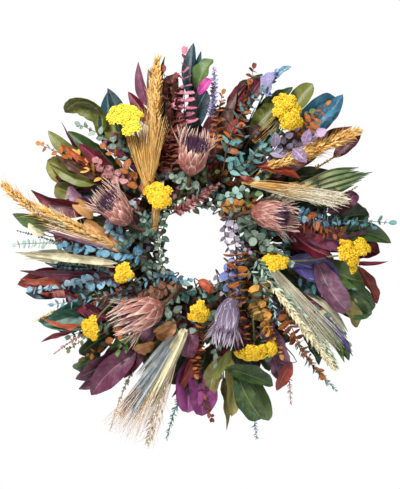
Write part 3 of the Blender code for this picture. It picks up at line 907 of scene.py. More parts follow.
# node: finish, unit shape, roll and twist (radians), cup, wave
BLADES = {
    "leaf_teal_top": ("navy", "pointed", 0.2, 0.2, 0.12, 0.03),
    "leaf_green_top": ("dark_green", "pointed", -0.2, 0.3, 0.10, 0.04),
    "leaf_burgundy_top_left": ("plum", "long", 0.5, -0.4, 0.15, 0.03),
    "leaf_teal_upper_left": ("navy", "pointed", -0.3, 0.2, 0.10, 0.03),
    "leaf_olive_upper_left": ("olive", "blunt", 0.4, 0.2, 0.25, 0.02),
    "leaf_burgundy_upper_left": ("burgundy", "pointed", 0.1, 0.3, 0.10, 0.05),
    "leaf_sage_upper_left": ("sage", "pointed", 0.2, -0.3, 0.12, 0.03),
    "leaf_yellow_left": ("yellow_green", "blunt", -0.2, 0.2, 0.12, 0.05),
    "leaf_plum_left": ("green", "pointed", 0.2, 0.3, 0.12, 0.04),
    "leaf_rust_left": ("rust", "pointed", -0.1, 0.4, 0.12, 0.06),
    "leaf_teal_lower_left": ("teal", "pointed", 0.2, -0.2, 0.10, 0.04),
    "leaf_maroon_lower_left": ("plum", "pointed", 0.0, 0.3, 0.10, 0.08),
    "leaf_purple_bottom": ("purple", "blunt", 0.1, 0.0, 0.08, 0.05),
    "leaf_tan_bottom": ("tan", "long", 0.3, 0.6, 0.14, 0.08),
    "leaf_green_bottom": ("green", "blunt", -0.2, 0.1, 0.10, 0.03),
    "leaf_mauve_lower_right": ("mauve", "pointed", 0.2, 0.2, 0.10, 0.05),
    "leaf_sage_right": ("green", "blunt", -0.1, 0.2, 0.04, 0.02),
    "leaf_burgundy_right": ("burgundy", "blunt", 0.2, 0.2, 0.10, 0.05),
    "leaf_violet_right": ("violet", "blunt", 0.1, 0.0, 0.08, 0.04),
    "leaf_green_right": ("dark_green", "pointed", 0.1, 0.3, 0.10, 0.04),
    "leaf_red_upper_right": ("rust", "long", 0.5, 0.3, 0.15, 0.04),
    "leaf_blue_upper_right": ("blue", "pointed", -0.2, 0.2, 0.10, 0.03),
    "leaf_olive_upper_right": ("olive", "blunt", 0.3, -0.2, 0.12, 0.03),
}

# leaves that curl right round go their own way, through these places
CURLS = {
    "leaf_olive_upper_left": (
        (-148, 160, 20), (-140, 190, 26), (-156, 213, 30), (-182, 214, 26), (-200, 198, 18)),
}

# name, finish, unit shape, start, end, width in mm, roll
MORE_BLADES = (
    ("top_second_tip", "navy", "long", (-8, 215, 8), (6, 292, 10), 20, -0.5),
    ("top_round_green", "green", "blunt", (0, 232, 26), (24, 276, 30), 27, 0.3),
    ("top_dark_point", "dark_green", "long", (-55, 215, 12), (-49, 284, 12), 14, 0.4),
    ("top_left_burgundy", "burgundy", "pointed", (-66, 175, 22), (-104, 229, 20), 20, 0.3),
    ("upper_left_olive", "olive", "blunt", (-108, 122, 20), (-130, 199, 18), 26, 0.1),
    ("left_twisted_point", "burgundy", "long", (-165, 122, 22), (-206, 184, 16), 11, 0.9),
    ("left_thin_point", "burgundy", "long", (-158, 50, 34), (-250, 80, 30), 28, 0.2),
    ("left_cream_tip", "cream", "blunt", (-228, 12, 26), (-254, 30, 26), 14, 0.4),
    ("left_plum_point", "maroon", "long", (-123, -50, 30), (-268, -42, 28), 18, 0.2),
    ("left_ember_streak", "ember", "long", (-170, -50, 22), (-268, -54, 20), 13, 0.5),
    ("left_rust_under", "rust", "pointed", (-150, -62, 8), (-266, -58, 10), 30, -0.2),
    ("left_navy_tip", "navy", "pointed", (-196, -64, 6), (-262, -76, 6), 20, 0.2),
    ("left_burgundy_fork", "burgundy", "pointed", (-132, -112, 28), (-200, -72, 26), 22, 0.4),
    ("left_burgundy_fork_low", "burgundy", "pointed", (-135, -114, 30), (-176, -88, 30), 19, -0.3),
    ("lower_left_ember", "ember", "long", (-155, -124, 34), (-235, -112, 30), 12, 0.5),
    ("lower_left_thin", "burgundy", "long", (-190, -134, 22), (-236, -150, 18), 9, 0.5),
    ("lower_left_green", "green", "blunt", (-146, -166, 20), (-188, -190, 16), 22, 0.1),
    ("lower_left_maroon_out", "plum", "pointed", (-96, -160, 20), (-184, -206, 18), 42, 0.2),
    ("lower_left_maroon_in", "plum", "pointed", (-92, -166, 26), (-160, -230, 24), 40, -0.2),
    ("lower_left_dark", "dark_green", "pointed", (-104, -134, 30), (-145, -176, 26), 24, 0.2),
    ("bottom_plum_round", "plum", "blunt", (-4, -126, 40), (-14, -172, 42), 30, -0.2),
    ("bottom_red_long", "rust", "long", (2, -150, 34), (-38, -232, 26), 19, 0.3),
    ("bottom_purple_second", "purple", "blunt", (0, -168, 16), (8, -262, 20), 44, 0.2),
    ("bottom_olive_curl", "olive", "long", (50, -158, 44), (12, -206, 46), 15, 0.3),
    ("bottom_tan_blade", "tan", "blunt", (40, -170, 30), (20, -230, 28), 27, -0.2),
    ("bottom_blue_green", "green", "blunt", (44, -188, 36), (114, -214, 34), 28, 0.2),
    ("bottom_red_small", "rust", "pointed", (142, -178, 36), (120, -222, 32), 20, 0.3),
    ("lower_right_violet", "violet", "blunt", (82, -70, 36), (116, -126, 40), 36, -0.2),
    ("right_brown", "tan", "blunt", (208, -72, 16), (244, -128, 14), 28, 0.3),
    ("right_dark_beside_sage", "dark_green", "blunt", (220, -56, 14), (266, -104, 12), 28, -0.2),
    ("right_red_pod", "rust", "blunt", (244, -36, 22), (272, -92, 20), 20, 0.4),
    ("right_mauve", "mauve", "blunt", (180, -24, 34), (228, -104, 32), 38, 0.1),
    ("right_plum_inner", "burgundy", "blunt", (138, 22, 46), (198, -20, 46), 40, 0.2),
    ("right_plum_outer", "plum", "blunt", (150, 30, 40), (228, 2, 36), 34, -0.2),
    ("right_far_twig", "burgundy", "long", (236, -30, 20), (290, -28, 14), 7, 0.3),
    ("right_dark_plum", "plum", "blunt", (196, 46, 30), (240, 76, 28), 26, 0.1),
    ("upper_right_curled", "rust", "blunt", (84, 116, 58), (154, 94, 62), 26, 0.9),
    ("upper_right_rust_bit", "rust", "blunt", (58, 98, 62), (86, 92, 64), 13, 0.5),
    ("upper_right_plum", "plum", "pointed", (206, 130, 20), (248, 163, 18), 20, 0.2),
    ("top_right_dark", "dark_green", "pointed", (92, 202, 22), (145, 236, 22), 20, 0.3),
    ("top_right_olive_in", "olive", "blunt", (80, 164, 34), (122, 208, 34), 32, 0.1),
    ("top_right_pale_edge", "euc_pale", "blunt", (108, 236, 26), (142, 266, 26), 12, 0.7),
    ("top_right_brick", "burgundy", "blunt", (76, 206, 34), (98, 246, 34), 22, -0.2),
    ("top_brick_small", "rust", "blunt", (44, 156, 52), (68, 182, 54), 17, 0.2),
    ("top_brick_small_right", "brown", "blunt", (78, 154, 52), (96, 172, 54), 15, -0.2),
    ("top_magenta", "magenta", "blunt", (2, 222, 48), (20, 244, 50), 15, 0.1),
    ("lower_right_dark", "dark_green", "pointed", (160, -132, 28), (184, -184, 26), 22, 0.2),
    ("inner_left_tan", "caramel", "blunt", (-32, -118, 62), (-62, -136, 62), 24, 0.1),
    ("inner_left_tan_mid", "mauve", "blunt", (-62, -126, 58), (-80, -146, 58), 20, -0.3),
    ("inner_left_tan_low", "caramel", "blunt", (-62, -150, 56), (-92, -160, 54), 22, 0.5),
    ("inner_orange", "ember", "blunt", (2, -56, 52), (24, -74, 54), 15, 0.2),
    ("left_pink_tan", "mauve", "blunt", (-166, 54, 40), (-192, 84, 40), 20, 0.2),
    ("left_tan_second", "caramel", "blunt", (-156, 36, 44), (-184, 64, 44), 19, -0.2),
    ("left_tan_third", "caramel", "blunt", (-130, 8, 48), (-168, 32, 48), 20, 0.2),
    ("left_tan_fourth", "caramel", "blunt", (-106, -12, 52), (-132, 8, 52), 19, 0.1),
    ("top_left_dark", "brown", "pointed", (-40, 150, 22), (-42, 214, 24), 24, 0.3),
    ("left_top_green", "dark_green", "pointed", (-128, 112, 14), (-196, 170, 12), 30, 0.1),
    ("top_left_plum_second", "brown", "pointed", (-64, 150, 20), (-74, 264, 14), 24, 0.2),
    ("upper_left_teal_second", "navy", "pointed", (-138, 148, 14), (-136, 228, 16), 30, -0.2),
    ("upper_right_teal_second", "blue", "pointed", (150, 160, 12), (222, 226, 12), 36, 0.3),
    ("top_right_green_broad", "dark_green", "pointed", (44, 176, 16), (90, 250, 16), 32, -0.2),
    ("top_right_maroon", "burgundy", "pointed", (56, 180, 24), (72, 244, 22), 26, 0.2),
    ("top_right_rust_long", "brown", "long", (40, 150, 34), (60, 226, 30), 22, 0.3),
    ("top_peri_petal", "lilac", "blunt", (104, 222, 36), (112, 256, 36), 22, 0.5),
    ("upper_left_sage_in", "olive", "blunt", (-146, 98, 20), (-190, 142, 18), 30, 0.2),
    ("left_yellow_second", "yellow_green", "blunt", (-160, 74, 14), (-216, 86, 14), 36, 0.2),
    ("left_navy_low", "navy", "long", (-128, -34, 22), (-230, -30, 20), 22, -0.2),
    ("teal_lower_left_long", "teal", "pointed", (-146, -104, 10), (-242, -118, 8), 42, 0.2),
    ("lower_left_green_second", "dark_green", "blunt", (-124, -132, 20), (-178, -168, 16), 30, 0.1),
    ("lower_left_plum_fill", "maroon", "pointed", (-76, -138, 22), (-110, -204, 18), 32, -0.2),
    ("bottom_olive_second", "tan", "blunt", (44, -168, 24), (52, -262, 20), 26, 0.2),
    ("bottom_green_broad", "green", "blunt", (60, -196, 28), (98, -266, 24), 34, -0.2),
    ("bottom_mauve_second", "mauve", "blunt", (98, -146, 30), (124, -204, 28), 32, 0.1),
    ("right_green_fill", "green", "blunt", (192, -28, 12), (258, -60, 10), 40, 0.2),
    ("right_dark_upper", "dark_green", "blunt", (196, 28, 14), (262, 44, 10), 32, 0.1),
    ("upper_right_gap_dark", "dark_green", "blunt", (82, 136, 16), (126, 196, 14), 36, 0.1),
    ("upper_right_back_fill", "brown", "blunt", (118, 118, 14), (178, 168, 12), 38, 0.2),
    ("top_dark_brown_back", "brown", "blunt", (-40, 168, 14), (-34, 256, 14), 34, 0.1),
    ("upper_left_rust_blade", "brown", "long", (-150, 96, 36), (-214, 134, 32), 15, 0.3),
    ("upper_left_tan_blade", "olive", "long", (-154, 88, 32), (-224, 120, 24), 17, 0.2),
    ("upper_left_rust_second", "ember", "long", (-160, 112, 36), (-206, 150, 32), 11, 0.4),
    ("bottom_right_dark_fill", "dark_green", "pointed", (108, -150, 16), (136, -206, 14), 34, 0.2),
    ("bottom_dark_fill", "dark_green", "pointed", (44, -112, 8), (62, -204, 6), 42, 0.2),
    ("left_cream_blade", "cream", "long", (-116, -30, 58), (-272, -14, 44), 13, 0.15),
    ("left_cream_blade_low", "cream", "long", (-120, -36, 56), (-262, -25, 42), 10, -0.15),
    ("lower_right_dark_edge", "dark_green", "pointed", (184, -128, 22), (230, -178, 20), 24, 0.2),
    ("bottom_plum_fill", "plum", "pointed", (66, -110, 10), (92, -196, 8), 40, -0.2),
    ("top_right_dark_fill", "dark_green", "pointed", (62, 112, 8), (94, 200, 6), 42, 0.2),
    ("top_right_rust_fill", "maroon", "pointed", (48, 118, 10), (66, 204, 8), 36, -0.2),
    ("lower_right_green_tip", "green", "long", (170, -112, 30), (222, -180, 26), 18, 0.2),
    ("lower_right_purple_tip", "violet", "long", (182, -106, 34), (234, -170, 30), 13, 0.3),
    ("top_right_green_tip", "dark_green", "pointed", (46, 194, 10), (100, 258, 12), 28, 0.2),
    ("upper_right_teal_broad", "blue", "blunt", (140, 164, 8), (212, 222, 10), 42, -0.2),
    ("right_plum_tip", "plum", "pointed", (214, -10, 26), (276, 8, 22), 28, 0.2),
)


def add_stalk(piece, key, stalk, blade_line, radius):
    """A stalk into a leafy part, a little way along its middle."""
    line = smooth_line(np.vstack((stalk[:-1], blade_line[:2])), 14)
    piece.add(key, stalk_of(line, radius, radius * 0.55))


def curled(line, rng):
    """A leaf's line as it dries: it sways aside and its tip droops or lifts."""
    fine = smooth_line(line, 16)
    reach = fine[-1] - fine[0]
    side = lengths(np.cross(reach, FRONT)) * np.linalg.norm(reach)
    step = np.linspace(0, 1, 16)[:, None]
    droop = rng.uniform(-0.22, 0.10) * np.linalg.norm(reach)
    return (fine + side * rng.uniform(-0.09, 0.09) * np.sin(math.pi * step)
            + FRONT * droop * (step ** 2.2 - step * 0.5))


def broad_leaf(name, key, kind, line, width, roll, twist, cup, wave, stalk=None):
    """One broad leaf with its petiole."""
    piece = Piece(name)
    rng = piece.rng
    line = curled(line, rng)
    piece.add(key, blade(
        kind, line, width, roll, twist + rng.uniform(-0.3, 0.3), cup, wave * rng.uniform(0.9, 1.8),
        rng.uniform(0.2, 0.8), rng.uniform(0, 6), rng.uniform(0.1, 0.55)))
    stalk = rooted(line) if stalk is None else stalk
    add_stalk(piece, "twig", stalk, line, bpy.context.scene.wreath_sizes.twig * 1.2)
    return piece


# groups of dark leaves round the ring, their dark colours painted shade that stands in for the shadow between
# stems, and leaves in one group
UNDER_GROUPS = 12
UNDER_LEAVES = 9


def shade_undergrowth():
    """Dark leaves close to the vines, which fill the depth between stems; their dark colours are painted
    shade, standing in for the shadow in that depth.
    """
    # only dark finishes, so that these leaves show as painted shade between the stems
    keys = ("dark_green", "brown", "maroon", "dark_green", "burgundy", "navy", "olive", "plum")
    for group in range(UNDER_GROUPS):
        piece = Piece(f"under_leaves_{group + 1}")
        for i in range(UNDER_LEAVES):
            angle = group * 360 / UNDER_GROUPS + i * 3.4 + piece.rng.uniform(-2, 2)
            near = piece.rng.uniform(88, 118) + (i % 3) * 22
            far = near + piece.rng.uniform(58, 84)
            forward = 6 + (i % 3) * 7 + piece.rng.uniform(-3, 3)
            lean = piece.rng.uniform(-14, 14)
            line = span(polar(angle, near, forward), polar(angle + lean, far, forward + 2), 6, lean / 3)
            key = keys[(group * 5 + i * 3) % len(keys)]
            piece.add(key, blade(
                "pointed" if i % 2 else "blunt", line, piece.rng.uniform(0.022, 0.034),
                piece.rng.uniform(-0.5, 0.5), 0.2, 0.1, 0.05, piece.rng.uniform(0.0, 0.6)))
            piece.add("twig", stalk_of(rooted(line), 0.0012, 0.0008, 5))
        piece.make()


class WREATH_OT_leaves(Operator):
    """Add every broad leaf round the rim and between the heads"""
    bl_idname = "wreath.leaves"
    bl_label = "Broad Leaves"

    def execute(self, context):
        for node, (key, kind, roll, twist, cup, wave) in BLADES.items():
            stem = stem_of(node)
            line = np.array([place(*p) for p in CURLS[node]]) if node in CURLS else stem.line
            piece = broad_leaf(node + "_blade", key, kind, line, stem.width,
                               roll, twist, cup, wave, stem.stalk)
            piece.make(node, slot=slot_of(node))
        for name, key, kind, start, end, width, roll in MORE_BLADES:
            line = span(start, end, 5)
            piece = broad_leaf("blade_" + name, key, kind, line, width / 1000, roll, 0.25, 0.12, 0.08)
            piece.make()
        shade_undergrowth()
        return {"FINISHED"}


# ------------------------------------------------------------------ sprigs

# unit shape, leaf width over its length, gap between pairs over the leaf
# length, opening angle, how far the leaves face forward, turn of each pair,
# leaves at each joint, bend
Habit = namedtuple("Habit", "kind wide gap open facing turn each bend")
HABITS = {
    "pairs": Habit("disc", 0.80, 0.55, 62, 0.75, 90, 2, 0.5),
    "stack": Habit("disc", 0.85, 0.42, 78, 0.10, 90, 2, 0.6),
    "wings": Habit("disc", 0.50, 0.46, 76, 0.55, 9, 2, 0.5),
    "edge pairs": Habit("disc", 0.62, 0.52, 84, 0.14, 9, 2, 0.35),
    "round wings": Habit("disc", 0.72, 0.50, 72, 0.80, 9, 2, 0.4),
    "star": Habit("willow", 0.42, 0.60, 58, 0.60, 90, 2, 0.3),
    "needle": Habit("willow", 0.26, 0.32, 48, 0.60, 137, 2, 0.2),
    "loose": Habit("small", 0.66, 0.42, 50, 0.70, 137, 1, 0.5),
    "spike": Habit("small", 0.55, 0.16, 50, 0.40, 137, 2, 0.8),
    "seeds": Habit("bud", 0.60, 0.90, 40, 0.50, 137, 2, 0.0),
}


# how much shorter the last leaf of a sprig is than its first
LEAF_SHRINK = 0.45


def leafy(piece, key, habit, line, leaf):
    """Leaves set along a line in the habit of their plant."""
    kind, wide, gap, opening, facing, turn, each, bend = HABITS[habit]
    rng = piece.rng
    total = np.linalg.norm(np.diff(line, axis=0), axis=1).sum()
    count = max(3, int(total / (leaf * gap)))
    fine = smooth_line(line, 60)
    along, side = frames(fine)
    front = np.cross(side, along)
    share = np.repeat((np.arange(count) + 0.5) / count, each)
    at = np.clip((share * 59).astype(int), 0, 59)
    angle = np.radians(np.repeat(np.arange(count) * turn, each) + np.tile(np.arange(each) * 180, count))
    angle += rng.normal(0, 0.25, len(angle))
    if turn == 90:
        angle = np.where(np.abs(np.sin(angle)) > 0.7, angle + 0.5, angle)
    radial = spokes(side[at], front[at], angle)
    way = spokes(along[at], radial, np.radians(opening + rng.normal(0, 9, len(angle))))
    size = leaf * (1 - LEAF_SHRINK * share ** 2) * rng.uniform(0.82, 1.15, len(angle))
    faces = along[at] * (1 - facing) + FRONT * facing + rng.normal(0, 0.22, way.shape)
    bends = -bend * rng.uniform(0, 1, len(angle))
    shade = shades(rng, 0.5, 0.22, len(angle))
    piece.add(key, copies(kind, fine[at], way, faces, size, size * wide, bends, 0.08, shade))
    tip = np.tile(along[-1], (3, 1)) + rng.normal(0, 0.25, (3, 3))
    piece.add(key, copies(kind, fine[[-1] * 3], tip, FRONT, leaf * 0.6, leaf * 0.6 * wide, 0.2, 0.1, 0.8))


def sprig(name, key, habit, line, leaf, stalk=None, twig="twig"):
    """One sprig: a twig from the vines with its leaves."""
    piece = Piece(name)
    radius = bpy.context.scene.wreath_sizes.twig
    foot = rooted(line) if stalk is None else stalk
    whole = smooth_line(np.vstack((foot[:-1], line)), 40)
    piece.add(twig, stalk_of(whole, radius * 1.2, radius * 0.35, 5))
    leafy(piece, key, habit, line, leaf)
    return piece


# node: finish, habit, leaf length in mm, twig finish
SPRIGS = {
    "sprig_pink_top": ("euc_pink", "wings", 21, "twig"),
    "sprig_rust_top": ("euc_red", "wings", 16, "twig"),
    "sprig_lilac_right": ("lilac", "loose", 19, "stalk"),
    "sprig_blue_right": ("euc_teal", "wings", 21, "stalk"),
    "sprig_orange_bottom": ("euc_orange", "wings", 19, "twig"),
    "sprig_pale_blue_left": ("euc_pale", "round wings", 16, "stalk"),
}

# name, finish, habit, start, end, leaf length in mm, bow
MORE_SPRIGS = (
    ("statice_top", "lilac", "spike", (20, 188, 44), (26, 258, 40), 10, 3),
    ("periwinkle_top", "peri", "loose", (100, 224, 34), (118, 256, 32), 13, 0),
    ("copper_top", "euc_rust", "wings", (28, 140, 52), (38, 222, 44), 16, -3),
    ("dark_stack_top", "euc_red", "wings", (-38, 105, 46), (-50, 258, 22), 20, 4),
    ("dark_stack_top_two", "euc_red", "wings", (-50, 96, 40), (-26, 206, 30), 18, -4),
    ("teal_star_one", "euc_teal", "star", (40, 116, 64), (98, 228, 46), 20, -12),
    ("teal_star_two", "euc_teal", "star", (58, 104, 62), (122, 172, 52), 19, 6),
    ("teal_star_three", "euc_teal", "star", (52, 128, 56), (72, 196, 48), 17, 4),
    ("grey_upper_right", "euc_grey", "loose", (104, 130, 58), (142, 168, 56), 24, 0),
    ("peri_upper_right", "euc_lilac", "loose", (134, 138, 68), (176, 158, 68), 30, 4),
    ("orange_upper_right", "euc_orange", "wings", (146, 162, 50), (192, 206, 44), 17, 3),
    ("green_upper_right", "euc_green", "loose", (96, 132, 44), (168, 196, 34), 18, -6),
    ("green_inner_top", "euc_green", "loose", (-34, 62, 48), (26, 104, 60), 15, -6),
    ("green_inner_top_two", "euc_dark", "loose", (-10, 62, 50), (42, 92, 56), 14, 5),
    ("pink_spike_inner", "euc_rose", "spike", (-30, 48, 58), (30, 86, 66), 9, 4),
    ("sage_inner_right", "euc_mint", "pairs", (28, 62, 52), (86, 92, 62), 13, 5),
    ("orange_inner_right", "euc_orange", "loose", (30, 46, 50), (92, 62, 60), 14, -3),
    ("grey_inner_right", "euc_grey", "loose", (44, 42, 46), (76, -12, 56), 12, 6),
    ("teal_inner_right", "euc_sage", "pairs", (62, 34, 52), (136, -30, 60), 15, 4),
    ("teal_inner_right_two", "euc_teal", "loose", (78, 30, 46), (140, 6, 56), 15, 0),
    ("peri_inner_low", "peri", "loose", (54, -20, 46), (56, -78, 58), 14, -6),
    ("white_inner_low", "white", "loose", (30, -46, 46), (52, -90, 58), 12, 4),
    ("rust_right", "euc_rust", "loose", (160, 46, 50), (228, 0, 48), 15, 3),
    ("rust_right_low", "euc_orange", "stack", (150, 20, 46), (215, 20, 44), 13, 3),
    ("mint_needles", "euc_mint", "needle", (88, -24, 56), (158, -104, 54), 16, 5),
    ("mint_needles_two", "euc_mint", "needle", (76, -38, 52), (120, -118, 50), 15, -6),
    ("rust_lower_right", "euc_rust", "wings", (130, -96, 48), (184, -196, 40), 19, 6),
    ("teal_tiny_lower_right", "euc_teal", "needle", (150, -150, 34), (208, -220, 24), 11, 4),
    ("orange_bottom_right", "euc_gold", "wings", (92, -60, 56), (124, -166, 48), 17, 3),
    ("gold_leaves_bottom", "euc_gold", "round wings", (84, -84, 62), (108, -150, 56), 16, -5),
    ("blue_round_left", "euc_blue", "pairs", (-84, -20, 56), (-200, -6, 46), 16, 3),
    ("pale_left_two", "euc_sage", "wings", (-112, -36, 44), (-208, -28, 34), 13, -3),
    ("blue_low_left", "euc_blue", "star", (-76, -78, 48), (-214, -92, 36), 17, 4),
    ("dark_sage_one", "euc_dark", "loose", (-52, -8, 52), (-112, 30, 58), 14, 5),
    ("dark_sage_two", "euc_dark", "loose", (-50, -28, 50), (-110, -30, 56), 14, -4),
    ("dark_sage_three", "euc_sage", "loose", (-62, 10, 48), (-98, 56, 58), 14, 5),
    ("pale_pair_left", "euc_pale", "pairs", (-94, 2, 58), (-132, 22, 56), 15, 0),
    ("mint_inner_left", "euc_mint", "loose", (-58, 24, 46), (-30, 60, 52), 13, -4),
    ("blue_inner_low_left", "euc_blue", "star", (-34, -46, 52), (-96, -66, 58), 14, 3),
    ("rose_low_left", "euc_brown", "pairs", (-28, -58, 50), (-104, -84, 58), 15, -3),
    ("red_tiny_left", "euc_red", "loose", (-88, -62, 50), (-150, -88, 46), 12, 2),
    ("rust_left_one", "euc_rust", "loose", (-82, 74, 50), (-136, 142, 44), 18, 4),
    ("rust_left_two", "euc_rose", "pairs", (-96, 92, 46), (-150, 120, 42), 16, -4),
    ("blue_tiny_bottom", "euc_blue", "needle", (68, -196, 20), (90, -294, 14), 10, -4),
    ("pink_thin_bottom", "euc_pink", "needle", (136, -176, 24), (142, -242, 18), 7, 0),
    ("teal_tiny_bottom_left", "euc_teal", "needle", (-16, -214, 22), (-46, -296, 12), 9, 3),
    ("teal_seeds_left", "navy", "seeds", (-150, -30, 30), (-270, 18, 20), 5, 6),
    ("buds_left_one", "yarrow", "seeds", (-180, -92, 24), (-244, -118, 18), 5, 3),
    ("buds_left_two", "euc_rose", "seeds", (-140, -124, 28), (-214, -166, 20), 6, 4),
    ("buds_bottom", "bleached", "seeds", (-96, -190, 22), (-132, -286, 14), 6, 3),
    ("buds_right", "gold", "seeds", (180, 62, 30), (240, 84, 24), 5, 3),
    ("buds_upper_right", "gold", "seeds", (176, 112, 30), (224, 138, 24), 5, 0),
    ("brown_serrated", "euc_red", "loose", (6, -190, 26), (22, -264, 20), 14, 4),
    ("sage_upper_left", "euc_sage", "loose", (-96, 122, 30), (-176, 178, 22), 17, 6),
    ("dark_upper_left", "euc_dark", "loose", (-84, 112, 36), (-120, 190, 28), 16, -5),
    ("green_lower_left", "euc_dark", "star", (-92, -112, 36), (-190, -140, 26), 18, 4),
    ("green_lower_left_two", "euc_green", "loose", (-80, -130, 34), (-150, -196, 24), 17, 4),
    ("sage_bottom", "euc_sage", "loose", (30, -120, 44), (36, -196, 34), 16, 4),
    ("rust_bottom", "euc_rust", "stack", (14, -112, 46), (0, -196, 38), 14, 4),
    ("teal_right_low", "euc_teal", "star", (150, -50, 36), (232, -70, 26), 18, 5),
    ("sage_right_low", "euc_sage", "loose", (160, -90, 34), (226, -150, 22), 17, -4),
    ("blue_right_second", "euc_blue", "wings", (150, 44, 52), (262, 24, 36), 15, 3),
    ("green_right_high", "euc_dark", "loose", (150, 74, 38), (226, 92, 28), 17, 4),
    ("dark_stack_top_three", "euc_red", "wings", (-34, 130, 44), (-32, 248, 26), 17, 3),
    ("rust_far_left", "euc_orange", "loose", (-160, 104, 32), (-236, 148, 24), 15, 4),
    ("rust_left_three", "euc_gold", "loose", (-134, 92, 38), (-182, 134, 32), 17, -3),
    ("teal_small_left", "euc_mint", "wings", (-150, -4, 34), (-272, -2, 26), 12, 3),
    ("brown_lower_left", "euc_rust", "loose", (-108, -128, 36), (-172, -174, 24), 15, -4),
    ("buds_lower_left", "sage", "loose", (-126, -122, 32), (-192, -160, 24), 13, 3),
    ("orange_stack_bottom", "euc_orange", "edge pairs", (58, -12, 66), (78, -158, 66), 20, 5),
    ("orange_stack_bottom_two", "euc_dark", "edge pairs", (94, -70, 60), (104, -166, 58), 18, 4),
    ("grey_inner_right_two", "euc_grey", "loose", (46, 40, 50), (50, -14, 52), 13, 7),
    ("white_inner_right", "white", "loose", (56, 34, 58), (62, -14, 62), 13, 5),
    ("sage_inner_top_edge", "euc_sage", "loose", (-8, 52, 50), (44, 48, 54), 13, -5),
    ("pink_inner_top_edge", "euc_rose", "spike", (-34, 46, 62), (18, 80, 70), 12, 4),
    ("dark_inner_left_edge", "euc_dark", "loose", (-46, 36, 50), (-47, -24, 52), 14, 5),
    ("sage_inner_left_edge", "euc_sage", "loose", (-54, 14, 58), (-52, -40, 58), 13, 4),
    ("blue_inner_low_edge", "euc_blue", "loose", (-46, -40, 52), (-12, -56, 54), 12, 4),
    ("peri_inner_low_two", "peri", "loose", (45, -28, 52), (62, -68, 62), 14, -4),
    ("teal_inner_low", "euc_teal", "loose", (8, -60, 50), (44, -66, 56), 13, 4),
    ("teal_front_left", "euc_dark", "pairs", (-64, 24, 66), (-112, -4, 68), 14, 4),
    ("sage_front_top", "euc_sage", "pairs", (10, 66, 66), (-34, 96, 66), 14, 4),
    ("green_front_right", "euc_green", "loose", (66, 60, 62), (104, 96, 60), 15, 4),
    ("sage_front_low", "euc_sage", "loose", (-26, -70, 62), (-64, -106, 64), 15, -4),
    ("sage_front_right", "euc_sage", "loose", (48, 50, 64), (98, 26, 72), 14, 4),
    ("gold_front_right", "euc_gold", "loose", (36, 54, 62), (94, 48, 74), 14, -3),
    ("peri_front_low", "peri", "pairs", (46, -44, 62), (60, -86, 70), 14, 3),
    ("dark_front_low", "euc_dark", "loose", (38, -54, 60), (52, -96, 66), 15, -3),
    ("copper_top_two", "euc_rust", "wings", (44, 136, 56), (78, 236, 44), 17, 3),
    ("blue_upper_right_low", "euc_teal", "star", (44, 104, 66), (96, 140, 66), 18, 3),
)


# rows of small sprigs over the vines: radius and place forward, in mm
COLLAR_ROWS = ((62, 24), (76, 40), (104, 44), (126, 42))


def collar():
    """Small sprigs that run round the ring over the vines, inside and out."""
    keys = ("euc_dark", "euc_sage", "brown", "euc_teal", "euc_green", "euc_grey",
            "euc_dark", "euc_rust", "euc_sage", "euc_dark", "burgundy", "euc_teal")
    for i, key in enumerate(keys):
        for row, (radius, forward) in enumerate(COLLAR_ROWS):
            first = i * 30 + row * 11
            places = [place(*polar(first + step * 11, radius + step * 3.0, forward)) for step in range(4)]
            shade = keys[(i * 5 + row * 7) % len(keys)] if row else key
            foot = np.array((place(*polar(first - 5, 84, 12)), places[0]))
            name = f"collar_sprig_{i + 1}_{row + 1}"
            sprig(name, shade, "loose", smooth_line(places, 12), 0.018, foot).make()


class WREATH_OT_sprigs(Operator):
    """Add the eucalyptus, statice and seed sprigs"""
    bl_idname = "wreath.sprigs"
    bl_label = "Sprigs"

    def execute(self, context):
        for node, (key, habit, leaf, twig) in SPRIGS.items():
            stem = stem_of(node)
            piece = sprig(node + "_leaves", key, habit, stem.line, leaf / 1000, stem.stalk, twig)
            piece.make(node, slot=slot_of(node))
        for name, key, habit, start, end, leaf, bow in MORE_SPRIGS:
            sprig("sprig_" + name, key, habit, span(start, end, 6, bow), leaf / 1000).make()
        collar()
        return {"FINISHED"}


# ------------------------------------------------- grasses, straws and palms

def plume(piece, key, line, width, dense, awn):
    """A grass head: husks in a spiral round its stem, each with its awn."""
    rng = piece.rng
    grain = bpy.context.scene.wreath_sizes.grain
    fine = smooth_line(line, 80)
    along, side = frames(fine)
    other = np.cross(along, side)
    share = np.linspace(0.02, 0.99, dense)
    at = (share * 79).astype(int)
    angle = np.arange(dense) * GOLDEN + rng.normal(0, 0.2, dense)
    radial = spokes(side[at], other[at], angle)
    full = np.sin(math.pi * np.clip(share * 0.85 + 0.12, 0, 1)) ** 0.6
    reach = width / 2 * full * rng.uniform(0.25, 1.0, dense)
    way = spokes(along[at], radial, np.radians(rng.uniform(14, 34, dense)))
    start = fine[at] + radial * (reach * 0.45)[:, None]
    size = grain * rng.uniform(0.75, 1.15, dense)
    shade = shades(rng, 0.55, 0.25, dense)
    piece.add(key, copies("grain", start, way, radial, size, size * 0.42, 0.0, 0.0, shade))
    count = int(dense * awn)
    pick = rng.permutation(dense)[:count]
    length = width * rng.uniform(0.55, 1.0, count) * (0.4 + 0.6 * full[pick])
    spread = way[pick] + rng.normal(0, 0.12, (count, 3))
    piece.add(key, copies("hair", start[pick], spread, radial[pick], length, 0.0009, 0.25, 0.0, shade[pick]))


